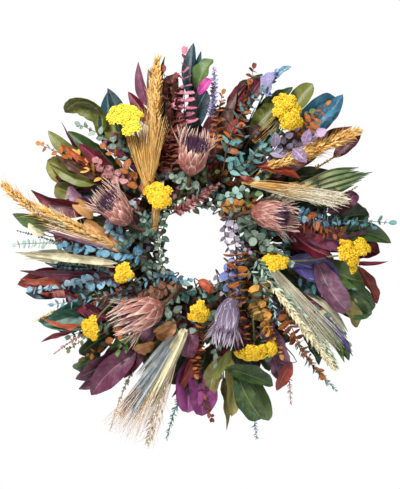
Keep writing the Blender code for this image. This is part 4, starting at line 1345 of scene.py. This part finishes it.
def straws(piece, key, start, end, count, near, far, radius, ear):
    """A loose bundle of straws that spreads from start to end; near and far
    are its widths in millimetres, and an ear gives the tips husks."""
    rng = piece.rng
    one, other = place(*start), place(*end)
    side = lengths(np.cross(other - one, FRONT))
    for i in range(count):
        across = (i + 0.5) / count - 0.5 + rng.uniform(-0.5, 0.5) / count
        deep = rng.uniform(-0.5, 0.5)
        foot = one + side * across * near / 1000 + FRONT * deep * near / 2500
        tip = one + (other - one) * rng.uniform(0.80, 1.0) + side * across * far / 1000
        tip = tip + FRONT * (deep * far / 4000 - 0.002)
        middle = (foot + tip) / 2 + side * rng.normal(0, 0.0015) + FRONT * 0.004
        line = smooth_line([foot, middle, tip], 10)
        shade = rng.uniform(0.2, 1.0)
        piece.add(key, stalk_of(line, radius, radius * 0.3, 5, shade))
        if ear:
            tail = smooth_line(line[6:], 8)
            way = lengths(tail[1:] - tail[:-1]) + rng.normal(0, 0.18, (7, 3))
            piece.add(key, copies("grain", tail[:-1], way, FRONT, ear, ear * 0.3, 0.0, 0.0, shade))
            piece.add(key, copies("hair", tail[:-1], way, FRONT, ear * 3, 0.0007, 0.2, 0.0, shade))


def blades_of_grass(piece, key, start, end, count, near, far, width):
    """Flat dry blades that fan out from start to end."""
    rng = piece.rng
    one, other = place(*start), place(*end)
    side = lengths(np.cross(other - one, FRONT))
    for i in range(count):
        across = (i + 0.5) / count - 0.5 + rng.uniform(-0.4, 0.4) / count
        foot = one + side * across * near / 1000
        tip = one + (other - one) * rng.uniform(0.82, 1.0) + side * across * far / 1000
        middle = (foot + tip) / 2 + FRONT * rng.uniform(0.0, 0.007)
        wide, roll = width * rng.uniform(0.6, 1.2), rng.uniform(-0.7, 0.7)
        piece.add(key, blade("long", [foot, middle, tip], wide, roll, 0.4, 0.1, 0.0, rng.uniform(0.1, 1.0)))


# node: finish, husks, awns to each husk
PLUMES = {
    "plume_gold_left": ("gold", 170, 0.9),
    "grass_gold_top": ("gold", 130, 0.7),
    "plume_gold_right": ("gold", 210, 1.0),
    "plume_mint_lower_right": ("mint_straw", 170, 1.0),
    "spear_straw_right": ("bleached", 90, 1.0),
    "wheat_cream_bottom": ("bleached", 120, 1.0),
    "awns_peach_bottom": ("bleached", 60, 0.7),
}

# name, finish, start, end, count, width near and far in mm, ear length in mm
BUNDLES = (
    ("upper_left", "gold", (-74, 84, 52), (-76, 188, 64), 76, 9, 70, 0),
    ("upper_left_amber", "amber", (-72, 88, 48), (-84, 180, 56), 20, 10, 58, 0),
    ("upper_left_pale", "gold", (-70, 86, 54), (-74, 180, 66), 34, 8, 56, 0),
    ("top", "gold", (-62, 118, 46), (-64, 250, 36), 24, 7, 22, 5),
    ("inner_left", "gold", (-64, 16, 56), (-58, 70, 66), 16, 6, 16, 0),
    ("spear_right", "gold", (66, 90, 66), (170, 74, 68), 34, 4, 18, 5),
    ("spear_right_white", "bleached", (80, 86, 68), (222, 62, 66), 34, 5, 24, 5),
    ("wheat_bottom", "bleached", (-16, -128, 56), (-98, -262, 42), 34, 5, 46, 0),
    ("wheat_bottom_cream", "bleached", (-22, -134, 60), (-84, -258, 48), 22, 5, 44, 0),
    ("awns_bottom", "peach", (-30, -150, 48), (-100, -292, 36), 70, 12, 76, 0),
    ("bleached_lower_right", "bleached", (108, -34, 60), (212, -164, 44), 48, 8, 44, 0),
    ("bleached_lower_right_long", "ash", (112, -40, 58), (206, -172, 40), 18, 8, 46, 0),
    ("plume_right_straws", "gold", (96, 112, 56), (196, 146, 48), 24, 8, 22, 5),
    ("upper_right_stalks", "amber", (84, 150, 52), (126, 190, 60), 9, 8, 20, 0),
    ("plume_left_straws", "bleached", (-120, -6, 52), (-236, 50, 40), 30, 8, 18, 5),
    ("upper_left_front", "gold", (-70, 92, 60), (-66, 172, 70), 26, 7, 40, 0),
    ("upper_left_high", "gold", (-70, 90, 56), (-76, 208, 60), 34, 7, 34, 0),
    ("awns_bottom_front", "peach", (-74, -214, 56), (-120, -288, 46), 40, 26, 60, 0),
    ("spear_right_front", "gold", (66, 90, 68), (150, 78, 72), 30, 4, 12, 0),
)

# name, finish, start, end, count, width near and far in mm, blade width in mm
GRASS_BLADES = (
    ("ash_bottom", "ash", (-36, -136, 64), (-88, -206, 58), 9, 8, 22, 4.4),
    ("ash_bottom_low", "ash", (-40, -156, 66), (-112, -262, 52), 14, 8, 28, 4.2),
    ("wheat_blades", "cream", (-20, -128, 62), (-100, -254, 52), 16, 7, 40, 4.6),
    ("wheat_blades_cream", "cream", (-16, -132, 58), (-80, -240, 48), 10, 7, 34, 5.0),
    ("striped_left", "mauve", (-104, -16, 54), (-240, 24, 46), 4, 4, 8, 5.0),
    ("striped_left_pale", "peach", (-100, -14, 56), (-236, 28, 48), 5, 4, 8, 3.0),
)

# name, finish, start, end, width in mm, husks
MORE_PLUMES = (
    ("left_second", "gold", (-108, -12, 52), (-236, 52, 38), 26, 150),
    ("right_second", "gold", (100, 108, 60), (232, 160, 48), 28, 190),
    ("mint_front", "cream", (112, -64, 64), (204, -186, 46), 15, 130),
    ("top_second", "gold", (-64, 110, 52), (-58, 260, 34), 20, 130),
)

# node: finish, pleats
PALMS = {
    "palm_green_right": ("palm", 9),
    "palm_bleached_lower_right": ("palm_pale", 9),
    "palm_cream_left": ("palm_pale", 6),
}


def pleated(piece, key, line, width, pleats):
    """A palm spear: pleats side by side, turned one way and the other, their
    ends of uneven length."""
    fine = smooth_line(line, BLADE_STEPS)
    along, side = frames(fine)
    face = np.cross(side, along)
    steps = np.linspace(0, 1, BLADE_STEPS)
    open_out = (0.30 + 0.70 * np.clip(steps * 1.6, 0, 1)) * (1 - 0.55 * np.clip(steps * 2.2 - 1.2, 0, 1))
    open_out = open_out[:, None] * 1.25
    for i in range(pleats):
        across = (i + 0.5) / pleats - 0.5
        reach = 1.0 - 0.42 * abs(across) * piece.rng.uniform(0.5, 1.3)
        path = fine + side * across * width * open_out + face * 0.0012 * (1 if i % 2 else -1)
        last = max(6, int(BLADE_STEPS * reach))
        piece.add(key, blade("strap", path[:last], width / pleats * 2.0, 0.65 if i % 2 else -0.65, 0.0,
                             0.05, 0.0, piece.rng.uniform(0.2, 0.9)))


class WREATH_OT_grasses(Operator):
    """Add the grass plumes, straw bundles, wheat and awns"""
    bl_idname = "wreath.grasses"
    bl_label = "Grasses"

    def execute(self, context):
        radius = context.scene.wreath_sizes.straw
        for node, (key, dense, awn) in PLUMES.items():
            stem = stem_of(node)
            piece = Piece(node + "_head")
            whole = smooth_line(np.vstack((stem.stalk[:-1], stem.line)), 40)
            piece.add(key, stalk_of(whole, 0.0015, 0.0005))
            plume(piece, key, stem.line, stem.width, dense, awn)
            piece.make(node, slot=slot_of(node))
        for name, key, start, end, width, dense in MORE_PLUMES:
            piece = Piece("plume_" + name)
            line = span(start, end, 5)
            whole = np.vstack((rooted(line)[:-1], line[1:]))
            piece.add(key, stalk_of(whole, 0.0014, 0.0005))
            plume(piece, key, line, width / 1000, dense, 0.8)
            piece.make()
        for name, key, start, end, count, near, far, ear in BUNDLES:
            piece = Piece("straws_" + name)
            straws(piece, key, start, end, count, near, far, radius, ear / 1000)
            piece.make()
        for name, key, start, end, count, near, far, width in GRASS_BLADES:
            piece = Piece("grass_" + name)
            blades_of_grass(piece, key, start, end, count, near, far, width / 1000)
            piece.make()
        return {"FINISHED"}


class WREATH_OT_palms(Operator):
    """Add the pleated palm spears"""
    bl_idname = "wreath.palms"
    bl_label = "Palm Spears"

    def execute(self, context):
        for node, (key, pleats) in PALMS.items():
            stem = stem_of(node)
            piece = Piece(node + "_pleats")
            add_stalk(piece, "stalk", stem.stalk, stem.line, 0.0016)
            pleated(piece, key, stem.line, stem.width, pleats)
            piece.make(node, slot=slot_of(node))
        return {"FINISHED"}


# ------------------------------------------------------------------- heads

# node: finish, how far the mouth opens to the front, how far the bracts flare
PROTEAS = {
    "protea_top": ("protea", 1.0, 0.90),
    "protea_left": ("protea", 0.8, 0.80),
    "protea_right": ("protea", 0.7, 0.90),
    "protea_lower_left": ("protea", 0.1, 0.95),
    "protea_bottom": ("protea_grey", 0.1, 0.60),
}

# dark hairs in a protea's tuft, and pale wisps that stand out of it
TUFT_HAIRS = 320
WISPS = 70

# row of bracts: share along the axis, foot radius, length, lean, bend, width
BRACT_ROWS = (
    (0.00, 0.22, 0.24, 68, -1.2, 0.42),
    (0.05, 0.38, 0.28, 58, -1.2, 0.42),
    (0.11, 0.50, 0.34, 46, -1.1, 0.40),
    (0.16, 0.56, 0.44, 36, -1.0, 0.34),
    (0.21, 0.58, 0.54, 28, -0.9, 0.28),
    (0.25, 0.56, 0.62, 22, -0.7, 0.22),
    (0.29, 0.50, 0.68, 17, -0.5, 0.18),
)


def protea(piece, key, base, tip, radius, opening, flare):
    """A protea head: overlapping rows of pointed bracts, longer inwards, and
    the dark tuft of hairs in its mouth."""
    rng = piece.rng
    bracts = bpy.context.scene.wreath_sizes.bracts
    axis = tip - base
    length = np.linalg.norm(axis)
    axis = axis / length
    front = lengths(FRONT - axis * FRONT.dot(axis))
    side = np.cross(axis, front)
    for row, (share, foot, long, lean, bend, wide) in enumerate(BRACT_ROWS):
        angle = 2 * math.pi * (np.arange(bracts) + 0.5 * (row % 2)) / bracts + rng.normal(0, 0.06, bracts)
        radial = spokes(side, front, angle)
        facing = np.clip(np.sin(angle), 0, 1) * opening * (row / 6)
        way = spokes(axis, radial, np.radians(lean * flare + rng.normal(0, 5, bracts) + facing * 10))
        start = base + axis * share * length + radial * foot * radius
        size = length * long * rng.uniform(0.84, 1.04, bracts) * (1 - 0.58 * facing)
        across = radius * wide * rng.uniform(0.8, 1.15, bracts)
        shade = shades(rng, 0.45, 0.25, bracts)
        piece.add(key, copies("bract", start, way, radial, size, across, bend, -0.18, shade))
    receptacle = [base + axis * length * s for s in (-0.04, 0.02, 0.10, 0.20, 0.30)]
    piece.add("twig", tube(np.array(receptacle), radius * np.array((0.14, 0.26, 0.34, 0.30, 0.12)), 10))
    count = TUFT_HAIRS
    angle = np.arange(count) * GOLDEN
    out = np.sqrt((np.arange(count) + 0.5) / count)
    radial = spokes(side, front, angle)
    start = base + axis * length * 0.26 + radial * (out * radius * 0.42)[:, None]
    lean = (0.30 * out + 0.40 * opening * np.clip(np.sin(angle), 0, 1))[:, None]
    hairs = rng.uniform(0.34, 0.50, count) * length
    piece.add("tuft", copies("hair", start, axis + radial * lean, radial, hairs, 0.0024, -0.2, 0.0,
                             shades(rng, 0.3, 0.25, count)))
    wisps = rng.permutation(count)[:WISPS]
    leans = (0.35 + rng.uniform(0.0, 0.35, WISPS))[:, None] * flare
    reach = length * rng.uniform(0.50, 0.72, WISPS) * (1 - 0.5 * np.clip(np.sin(angle[wisps]), 0, 1))
    piece.add(key, copies("hair", start[wisps], axis + radial[wisps] * leans, radial[wisps],
                          reach, 0.0013, 0.2, 0.0, rng.uniform(0.5, 1, WISPS)))


class WREATH_OT_proteas(Operator):
    """Add the five protea heads"""
    bl_idname = "wreath.proteas"
    bl_label = "Protea Heads"

    def execute(self, context):
        for node, (key, opening, flare) in PROTEAS.items():
            middles, radius = middles_of(node, STALK_RINGS - 1)
            piece = Piece(node + "_bloom")
            stalk = smooth_line(middles[:STALK_RINGS], 20)
            piece.add("twig", stalk_of(stalk, 0.0022, 0.0030, 10))
            protea(piece, key, middles[STALK_RINGS - 1], middles[-1], radius, opening, flare)
            piece.make(node, slot=slot_of(node))
        return {"FINISHED"}


# node: finish, turn of the face to the right and up in degrees, and how wide
# it is for its height
YARROWS = {
    "yarrow_upper_left": ("lemon", -8, 40, 1.18),
    "yarrow_upper_right": ("yarrow", 12, 10, 0.90),
    "yarrow_inner_left": ("yarrow", -10, 20, 1.15),
    "yarrow_inner_right": ("yarrow", 15, 50, 1.15),
    "yarrow_right": ("yarrow", 42, 24, 0.90),
    "yarrow_bottom": ("yarrow", 5, -48, 1.20),
    "yarrow_lower_left": ("yarrow", -35, 0, 0.95),
}

# name, finish, middle, radius in mm, turn right and up
MORE_YARROWS = (
    ("left_small", "yarrow", (-110, -45, 84), 15, -20, 0),
    ("inner_low", "yarrow", (2, -104, 84), 17, 0, -20),
    ("upper_left_side", "lemon", (-98, 172, 84), 15, -20, 20),
    ("inner_left_lobe", "yarrow", (-50, 64, 82), 14, 10, 10),
    ("bottom_bit", "yarrow", (110, -158, 66), 10, 20, -10),
    ("right_tip", "yarrow", (246, -5, 72), 15, 30, 20),
    ("upper_right_low", "yarrow", (140, 176, 84), 16, 10, -20),
)

# the small domes of a yarrow head: how far apart, how wide, florets in each
DOME_SPACING = 0.0062
DOME_RADII = (0.0052, 0.0072)
DOME_FLORETS = 19


def yarrow(piece, key, crown, radius, facing, wide=1.0):
    """A yarrow head: a flat dome of small domes of florets on their stalks."""
    rng = piece.rng
    floret = bpy.context.scene.wreath_sizes.floret
    side = lengths(np.cross(facing, (0.0, 0.0, 1.0)))
    up = np.cross(side, facing)
    neck = crown - facing * radius * 0.55
    piece.add(key, copies("bud", [crown - facing * radius * 0.62], facing, up,
                          radius * 0.52, radius * 1.7, 0.0, 0.0, 0.2))
    domes = max(7, int((radius / DOME_SPACING) ** 2 * 1.1))
    for i in range(domes):
        turn = i * GOLDEN
        out = radius * 0.82 * math.sqrt((i + 0.5) / domes) * rng.uniform(0.9, 1.1)
        middle = crown + (side * math.cos(turn) * wide + up * math.sin(turn) / wide) * out
        middle = middle - facing * (radius * 0.42 * (out / radius) ** 2 + rng.uniform(0, 0.0025))
        lean = lengths(facing + (middle - crown) / radius * 0.55)
        small = rng.uniform(*DOME_RADII)
        count = DOME_FLORETS
        spin = np.arange(count) * GOLDEN + i
        ring = small * np.sqrt((np.arange(count) + 0.3) / count)
        one = lengths(np.cross(lean, (0.3, 0.2, 1.0)))
        two = np.cross(lean, one)
        away = spokes(one, two, spin)
        start = middle + away * ring[:, None] - lean * (small * 0.5 * (ring / small) ** 2)[:, None]
        way = lean + away * (ring / small)[:, None] * 0.6
        size = floret * rng.uniform(0.8, 1.1, count)
        piece.add(key, copies("floret", start, way, away, size * 0.9, size * 1.08, 0.0, 0.0,
                              shades(rng, 0.60, 0.22, count)))
        piece.add(key, copies("bud", [middle - lean * small * 0.95], lean, away[0], small * 1.1, small * 2.1,
                              0.0, 0.0, 0.35))
        stalk = smooth_line([neck, (neck + middle) / 2 - facing * 0.002, middle], 5)
        piece.add("stalk", stalk_of(stalk, 0.0009, 0.0006, 4))


def turned(right, up):
    """The way a face looks, turned from the front to the right and up."""
    a, b = math.radians(right), math.radians(up)
    return np.array((math.sin(a) * math.cos(b), -math.cos(a) * math.cos(b), math.sin(b)))


class WREATH_OT_yarrows(Operator):
    """Add the yarrow heads"""
    bl_idname = "wreath.yarrows"
    bl_label = "Yarrow Heads"

    def execute(self, context):
        for node, (key, right, up, wide) in YARROWS.items():
            middles, radius = middles_of(node)
            piece = Piece(node + "_florets")
            crown, facing = middles[-1], turned(right, up)
            neck = crown - facing * radius * 0.55
            stalk = smooth_line(np.vstack((middles[:STALK_RINGS], [neck])), 24)
            piece.add("stalk", stalk_of(stalk, 0.0019, 0.0013, 8))
            yarrow(piece, key, crown, radius * 1.05, facing, wide)
            piece.make(node, slot=slot_of(node))
        for name, key, middle, radius, right, up in MORE_YARROWS:
            piece = Piece("yarrow_" + name)
            crown, facing = place(*middle), turned(right, up)
            neck = crown - facing * radius * 0.00055
            line = np.array([neck, neck + facing * 0.004])
            piece.add("stalk", stalk_of(rooted(line), 0.0016, 0.0011))
            yarrow(piece, key, crown, radius / 1000, facing)
            piece.make()
        return {"FINISHED"}


# --------------------------------------------------------- vines and wires

# radius of the florist's wire, and of the two lower corners of the loop
TIE_WIRE = 0.0008
LOOP_CORNER = 0.006


class WREATH_OT_vines(Operator):
    """Add the four twisted grapevine strands"""
    bl_idname = "wreath.vines"
    bl_label = "Grapevine Strands"

    def execute(self, context):
        ridge = context.scene.wreath_sizes.ridge
        for number, node in enumerate(STRANDS):
            mesh = frame["nodes"][node].data
            places = np.unique(np.round([v.co for v in mesh.vertices], 5), axis=0)
            sections = len(places) // 5
            out = places - MIDDLE
            turn = np.arctan2(out[:, 2], out[:, 0]) % (2 * math.pi)
            group = np.round(turn / (2 * math.pi) * sections).astype(int) % sections
            centres = np.array([places[group == i].mean(axis=0) for i in range(sections)])
            radius = np.linalg.norm(places[group == 0] - centres[0], axis=1).mean()
            loop = np.vstack((centres[-2:], centres, centres[:3]))
            fine = smooth_line(loop, (len(loop) - 1) * 5 + 1)[10:-10]
            away = fine - MIDDLE
            flat = lengths(away * (1, 0, 1)) * RING
            phase = number * 1.7

            def bark(share, angle):
                round_it = 2 * math.pi * share
                return (ridge * np.sin(5 * angle + 3 * np.sin(round_it * 4 + phase))
                        + ridge * 0.5 * np.sin(11 * angle + round_it * 9)
                        + ridge * 0.9 * np.sin(round_it * 13 + phase) * np.sin(angle + phase))

            piece = Piece(node + "_bark")
            piece.add("bark", tube(fine, radius * 0.97, 20, 0.5, True, away - flat, bark))
            piece.make(node, slot="grapevine_bark")
        return {"FINISHED"}


def circle(middle, one, other, radius, count, pitch=0.0, turns=1.0):
    """Points round a circle, or along a coil that climbs by its pitch."""
    angle = np.linspace(0, 2 * math.pi * turns, count, endpoint=turns != 1.0)[:, None]
    climb = np.cross(one, other) * pitch * (angle / (2 * math.pi) - turns / 2)
    return middle + one * np.cos(angle) * radius + other * np.sin(angle) * radius + climb


def wire_round(piece, key, middle, orbit, wire):
    """Three turns of wire round the vines, and its twisted end."""
    out = lengths((middle - MIDDLE) * (1, 0, 1))
    coil = circle(middle, out, FRONT, orbit, 90, wire * 2.3, 3.0)
    piece.add(key, tube(coil, wire, 8))
    way = np.cross(out, FRONT)
    foot = middle - FRONT * orbit
    share = np.linspace(0, 1, 30)[:, None]
    for side in (0.0, math.pi):
        spin = share * 5 * math.pi + side
        line = foot + way * (share * 0.012) - FRONT * (0.0010 + 0.0012 * share)
        line = line + (out * np.cos(spin) - FRONT * np.sin(spin)) * wire * 0.9
        piece.add(key, tube(line, wire * 0.85, 6))


def wire_ring(piece, middle, one, other, radius, count, wire):
    """A closed ring of galvanised wire round a point."""
    piece.add("galvanised", tube(circle(middle, one, other, radius, count), wire, 10, closed=True,
                                 sideways=circle(np.zeros(3), one, other, 1.0, count)))


class WREATH_OT_wires(Operator):
    """Add the wire ties and the hanging loop"""
    bl_idname = "wreath.wires"
    bl_label = "Ties and Hanger"

    def execute(self, context):
        for node in ("wire_tie_1", "wire_tie_2", "wire_tie_3"):
            low, high = (np.array(corner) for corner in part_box(node))
            turn = math.atan2(*((low + high) / 2 - MIDDLE)[[2, 0]])
            middle = MIDDLE + RING * np.array((math.cos(turn), 0.0, math.sin(turn)))
            piece = Piece(node + "_winding")
            wire_round(piece, "florist_wire", middle, (high[1] - low[1]) / 2 - TIE_WIRE, TIE_WIRE)
            piece.make(node, slot="florist_wire")
        low, high = (np.array(corner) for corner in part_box("hanger_loop"))
        wire = (high[1] - low[1]) / 2
        hinge = np.array((0.0, 0.0, low[2] + wire))
        low_tie, high_tie = (np.array(corner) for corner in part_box("hanger_tie"))
        top = MIDDLE + np.array((0.0, 0.0, RING))
        tie_wire = (high_tie[0] - low_tie[0]) / 2
        orbit = top[1] - low_tie[1] - tie_wire
        piece = Piece("hanger_tie_wire")
        out = np.array((0.0, 0.0, 1.0))
        wire_ring(piece, top, out, FRONT, orbit, 72, tie_wire)
        eye = high_tie[1] - hinge[1] - tie_wire
        wire_ring(piece, hinge, -FRONT, out, eye, 40, tie_wire)
        piece.make("hanger_tie", slot="galvanised_wire")

        half = (high[0] - low[0]) / 2 - wire
        height = high[2] - low[2] - 2 * wire
        corner = LOOP_CORNER
        path, sideways = [], []
        arcs = ((half - corner, corner, corner, -90, 0, 8), (0.0, height - half, half, 0, 180, 30),
                (corner - half, corner, corner, 180, 270, 8))
        for across, up, radius, first, last, steps in arcs:
            for angle in np.radians(np.linspace(first, last, steps + 1)):
                way = np.array((math.cos(angle), 0.0, math.sin(angle)))
                path.append(hinge + (across, 0.0, up) + way * radius)
                sideways.append(way)
        piece = Piece("hanger_loop_wire")
        piece.add("galvanised", tube(np.array(path), wire, 12, closed=True, sideways=np.array(sideways)))
        piece.make("hanger_loop", slot="galvanised_wire", body="hanger")
        return {"FINISHED"}


# ------------------------------------------------------------------- stage

# name, place from the middle of the wreath, width, power in watts
LIGHTS = (
    ("key light", (-0.7, -1.25, 1.2), 0.45, 52.0),
    ("fill light", (1.1, -1.2, 0.2), 1.2, 8.0),
    ("back light", (0.3, 1.5, 0.9), 1.2, 16.0),
)
# the middle of the leaves and heads stands this far in front of the vines
HEADS_FORWARD = 0.04
FLOOR_MIDDLE = (0.0, -0.5, -1.06)
FLOOR_THICKNESS = 0.02
FLOOR_EDGE = 0.004
# the studio's white walls: their colour, and strength as light and as seen
WALL_COLOUR = "#FDFEFF"
WALL_LIGHT = 0.11
WALL_SEEN = 1.0
# a wide light under the wreath that falls on the floor alone
FLOOR_LIGHT = ("floor light", (0.0, -0.5, -0.6), 7.0, 85.0)
# what the camera looks at from the ring's middle, and the width it takes in
CAMERA_AIM = (0.0045, -0.035, -0.00225)
CAMERA_WIDTH = 0.7335
SENSOR_MM = 36.0
FAR_CLIP = 50.0


def add_light(name, at, way, size, power):
    """A square soft light at a point, that shines one way."""
    data = bpy.data.lights.new(name, "AREA")
    data.size = size
    data.energy = power
    lamp = bpy.data.objects.new(name, data)
    bpy.context.scene.collection.objects.link(lamp)
    lamp.location = at
    lamp.rotation_mode = "QUATERNION"
    lamp.rotation_quaternion = Vector(way).to_track_quat("-Z", "Y")


class WREATH_OT_stage(Operator):
    """Add the pale floor, the soft studio light and the camera"""
    bl_idname = "wreath.stage"
    bl_label = "Floor, Light and Camera"

    def execute(self, context):
        scene = context.scene
        sizes = scene.wreath_sizes
        scene.view_settings.view_transform = "Standard"
        floor = new_primitive(bpy.ops.mesh.primitive_cube_add, size=1.0, location=FLOOR_MIDDLE,
                              scale=(sizes.floor, sizes.floor, FLOOR_THICKNESS))
        edge = floor.modifiers.new("edge", "BEVEL")
        edge.width = FLOOR_EDGE
        edge.segments = 3
        bpy.ops.object.modifier_apply(modifier=edge.name)
        floor.name = "pale_floor"
        floor.data.materials.append(finish("board"))

        world = bpy.data.worlds.new("studio")
        scene.world = world
        world.use_nodes = True
        tree = world.node_tree
        backdrop = tree.nodes["Background"]
        backdrop.inputs["Color"].default_value = (*linear(WALL_COLOUR), 1.0)
        backdrop.inputs["Strength"].default_value = WALL_LIGHT
        seen = add_node(tree, "Background", {"Strength": WALL_SEEN, "Color": (*linear("#FFFFFF"), 1.0)})
        path = add_node(tree, "LightPath")
        both = add_node(tree, "MixShader", links={0: path.outputs["Is Camera Ray"], 1: backdrop.outputs[0],
                                                  2: seen.outputs[0]})
        tree.links.new(both.outputs[0], tree.nodes["World Output"].inputs["Surface"])
        for name, at, size, power in LIGHTS:
            add_light(name, MIDDLE + FRONT * HEADS_FORWARD + at, -np.array(at), size, power)
        name, at, size, power = FLOOR_LIGHT
        add_light(name, at, (0.0, 0.0, -1.0), size, power)

        data = bpy.data.cameras.new("camera")
        data.lens = sizes.lens
        data.sensor_width = SENSOR_MM
        data.clip_end = FAR_CLIP
        camera = bpy.data.objects.new("camera", data)
        scene.collection.objects.link(camera)
        camera.location = MIDDLE + CAMERA_AIM + FRONT * (CAMERA_WIDTH * sizes.lens / SENSOR_MM)
        camera.rotation_euler = (math.pi / 2, 0.0, 0.0)
        scene.camera = camera
        return {"FINISHED"}


# ------------------------------------------------------------------- panel

STEPS = (
    WREATH_OT_vines, WREATH_OT_wires, WREATH_OT_leaves, WREATH_OT_sprigs, WREATH_OT_grasses,
    WREATH_OT_palms, WREATH_OT_proteas, WREATH_OT_yarrows, WREATH_OT_stage,
)


class WREATH_PT_panel(Panel):
    """The steps of the wreath in order"""
    bl_idname = "WREATH_PT_panel"
    bl_label = "Harvest Door Wreath"
    bl_space_type = "VIEW_3D"
    bl_region_type = "UI"
    bl_category = "Wreath"

    def draw(self, context):
        column = self.layout.column()
        for step in STEPS:
            column.operator(step.bl_idname)
        for name in WreathSizes.__annotations__:
            column.prop(context.scene.wreath_sizes, name)
        for name in WreathColours.__annotations__:
            column.prop(context.scene.wreath_colours, name)


CLASSES = (WreathColours, WreathSizes, *STEPS, WREATH_PT_panel)


def register():
    for item in CLASSES:
        bpy.utils.register_class(item)
    bpy.types.Scene.wreath_colours = PointerProperty(type=WreathColours)
    bpy.types.Scene.wreath_sizes = PointerProperty(type=WreathSizes)


def unregister():
    del bpy.types.Scene.wreath_sizes
    del bpy.types.Scene.wreath_colours
    for item in reversed(CLASSES):
        bpy.utils.unregister_class(item)


def main():
    """Build the wreath."""
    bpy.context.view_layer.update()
    register()
    for step in STEPS:
        group, name = step.bl_idname.split(".")
        getattr(getattr(bpy.ops, group), name)()
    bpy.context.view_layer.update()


if __name__ == "__main__":
    main()
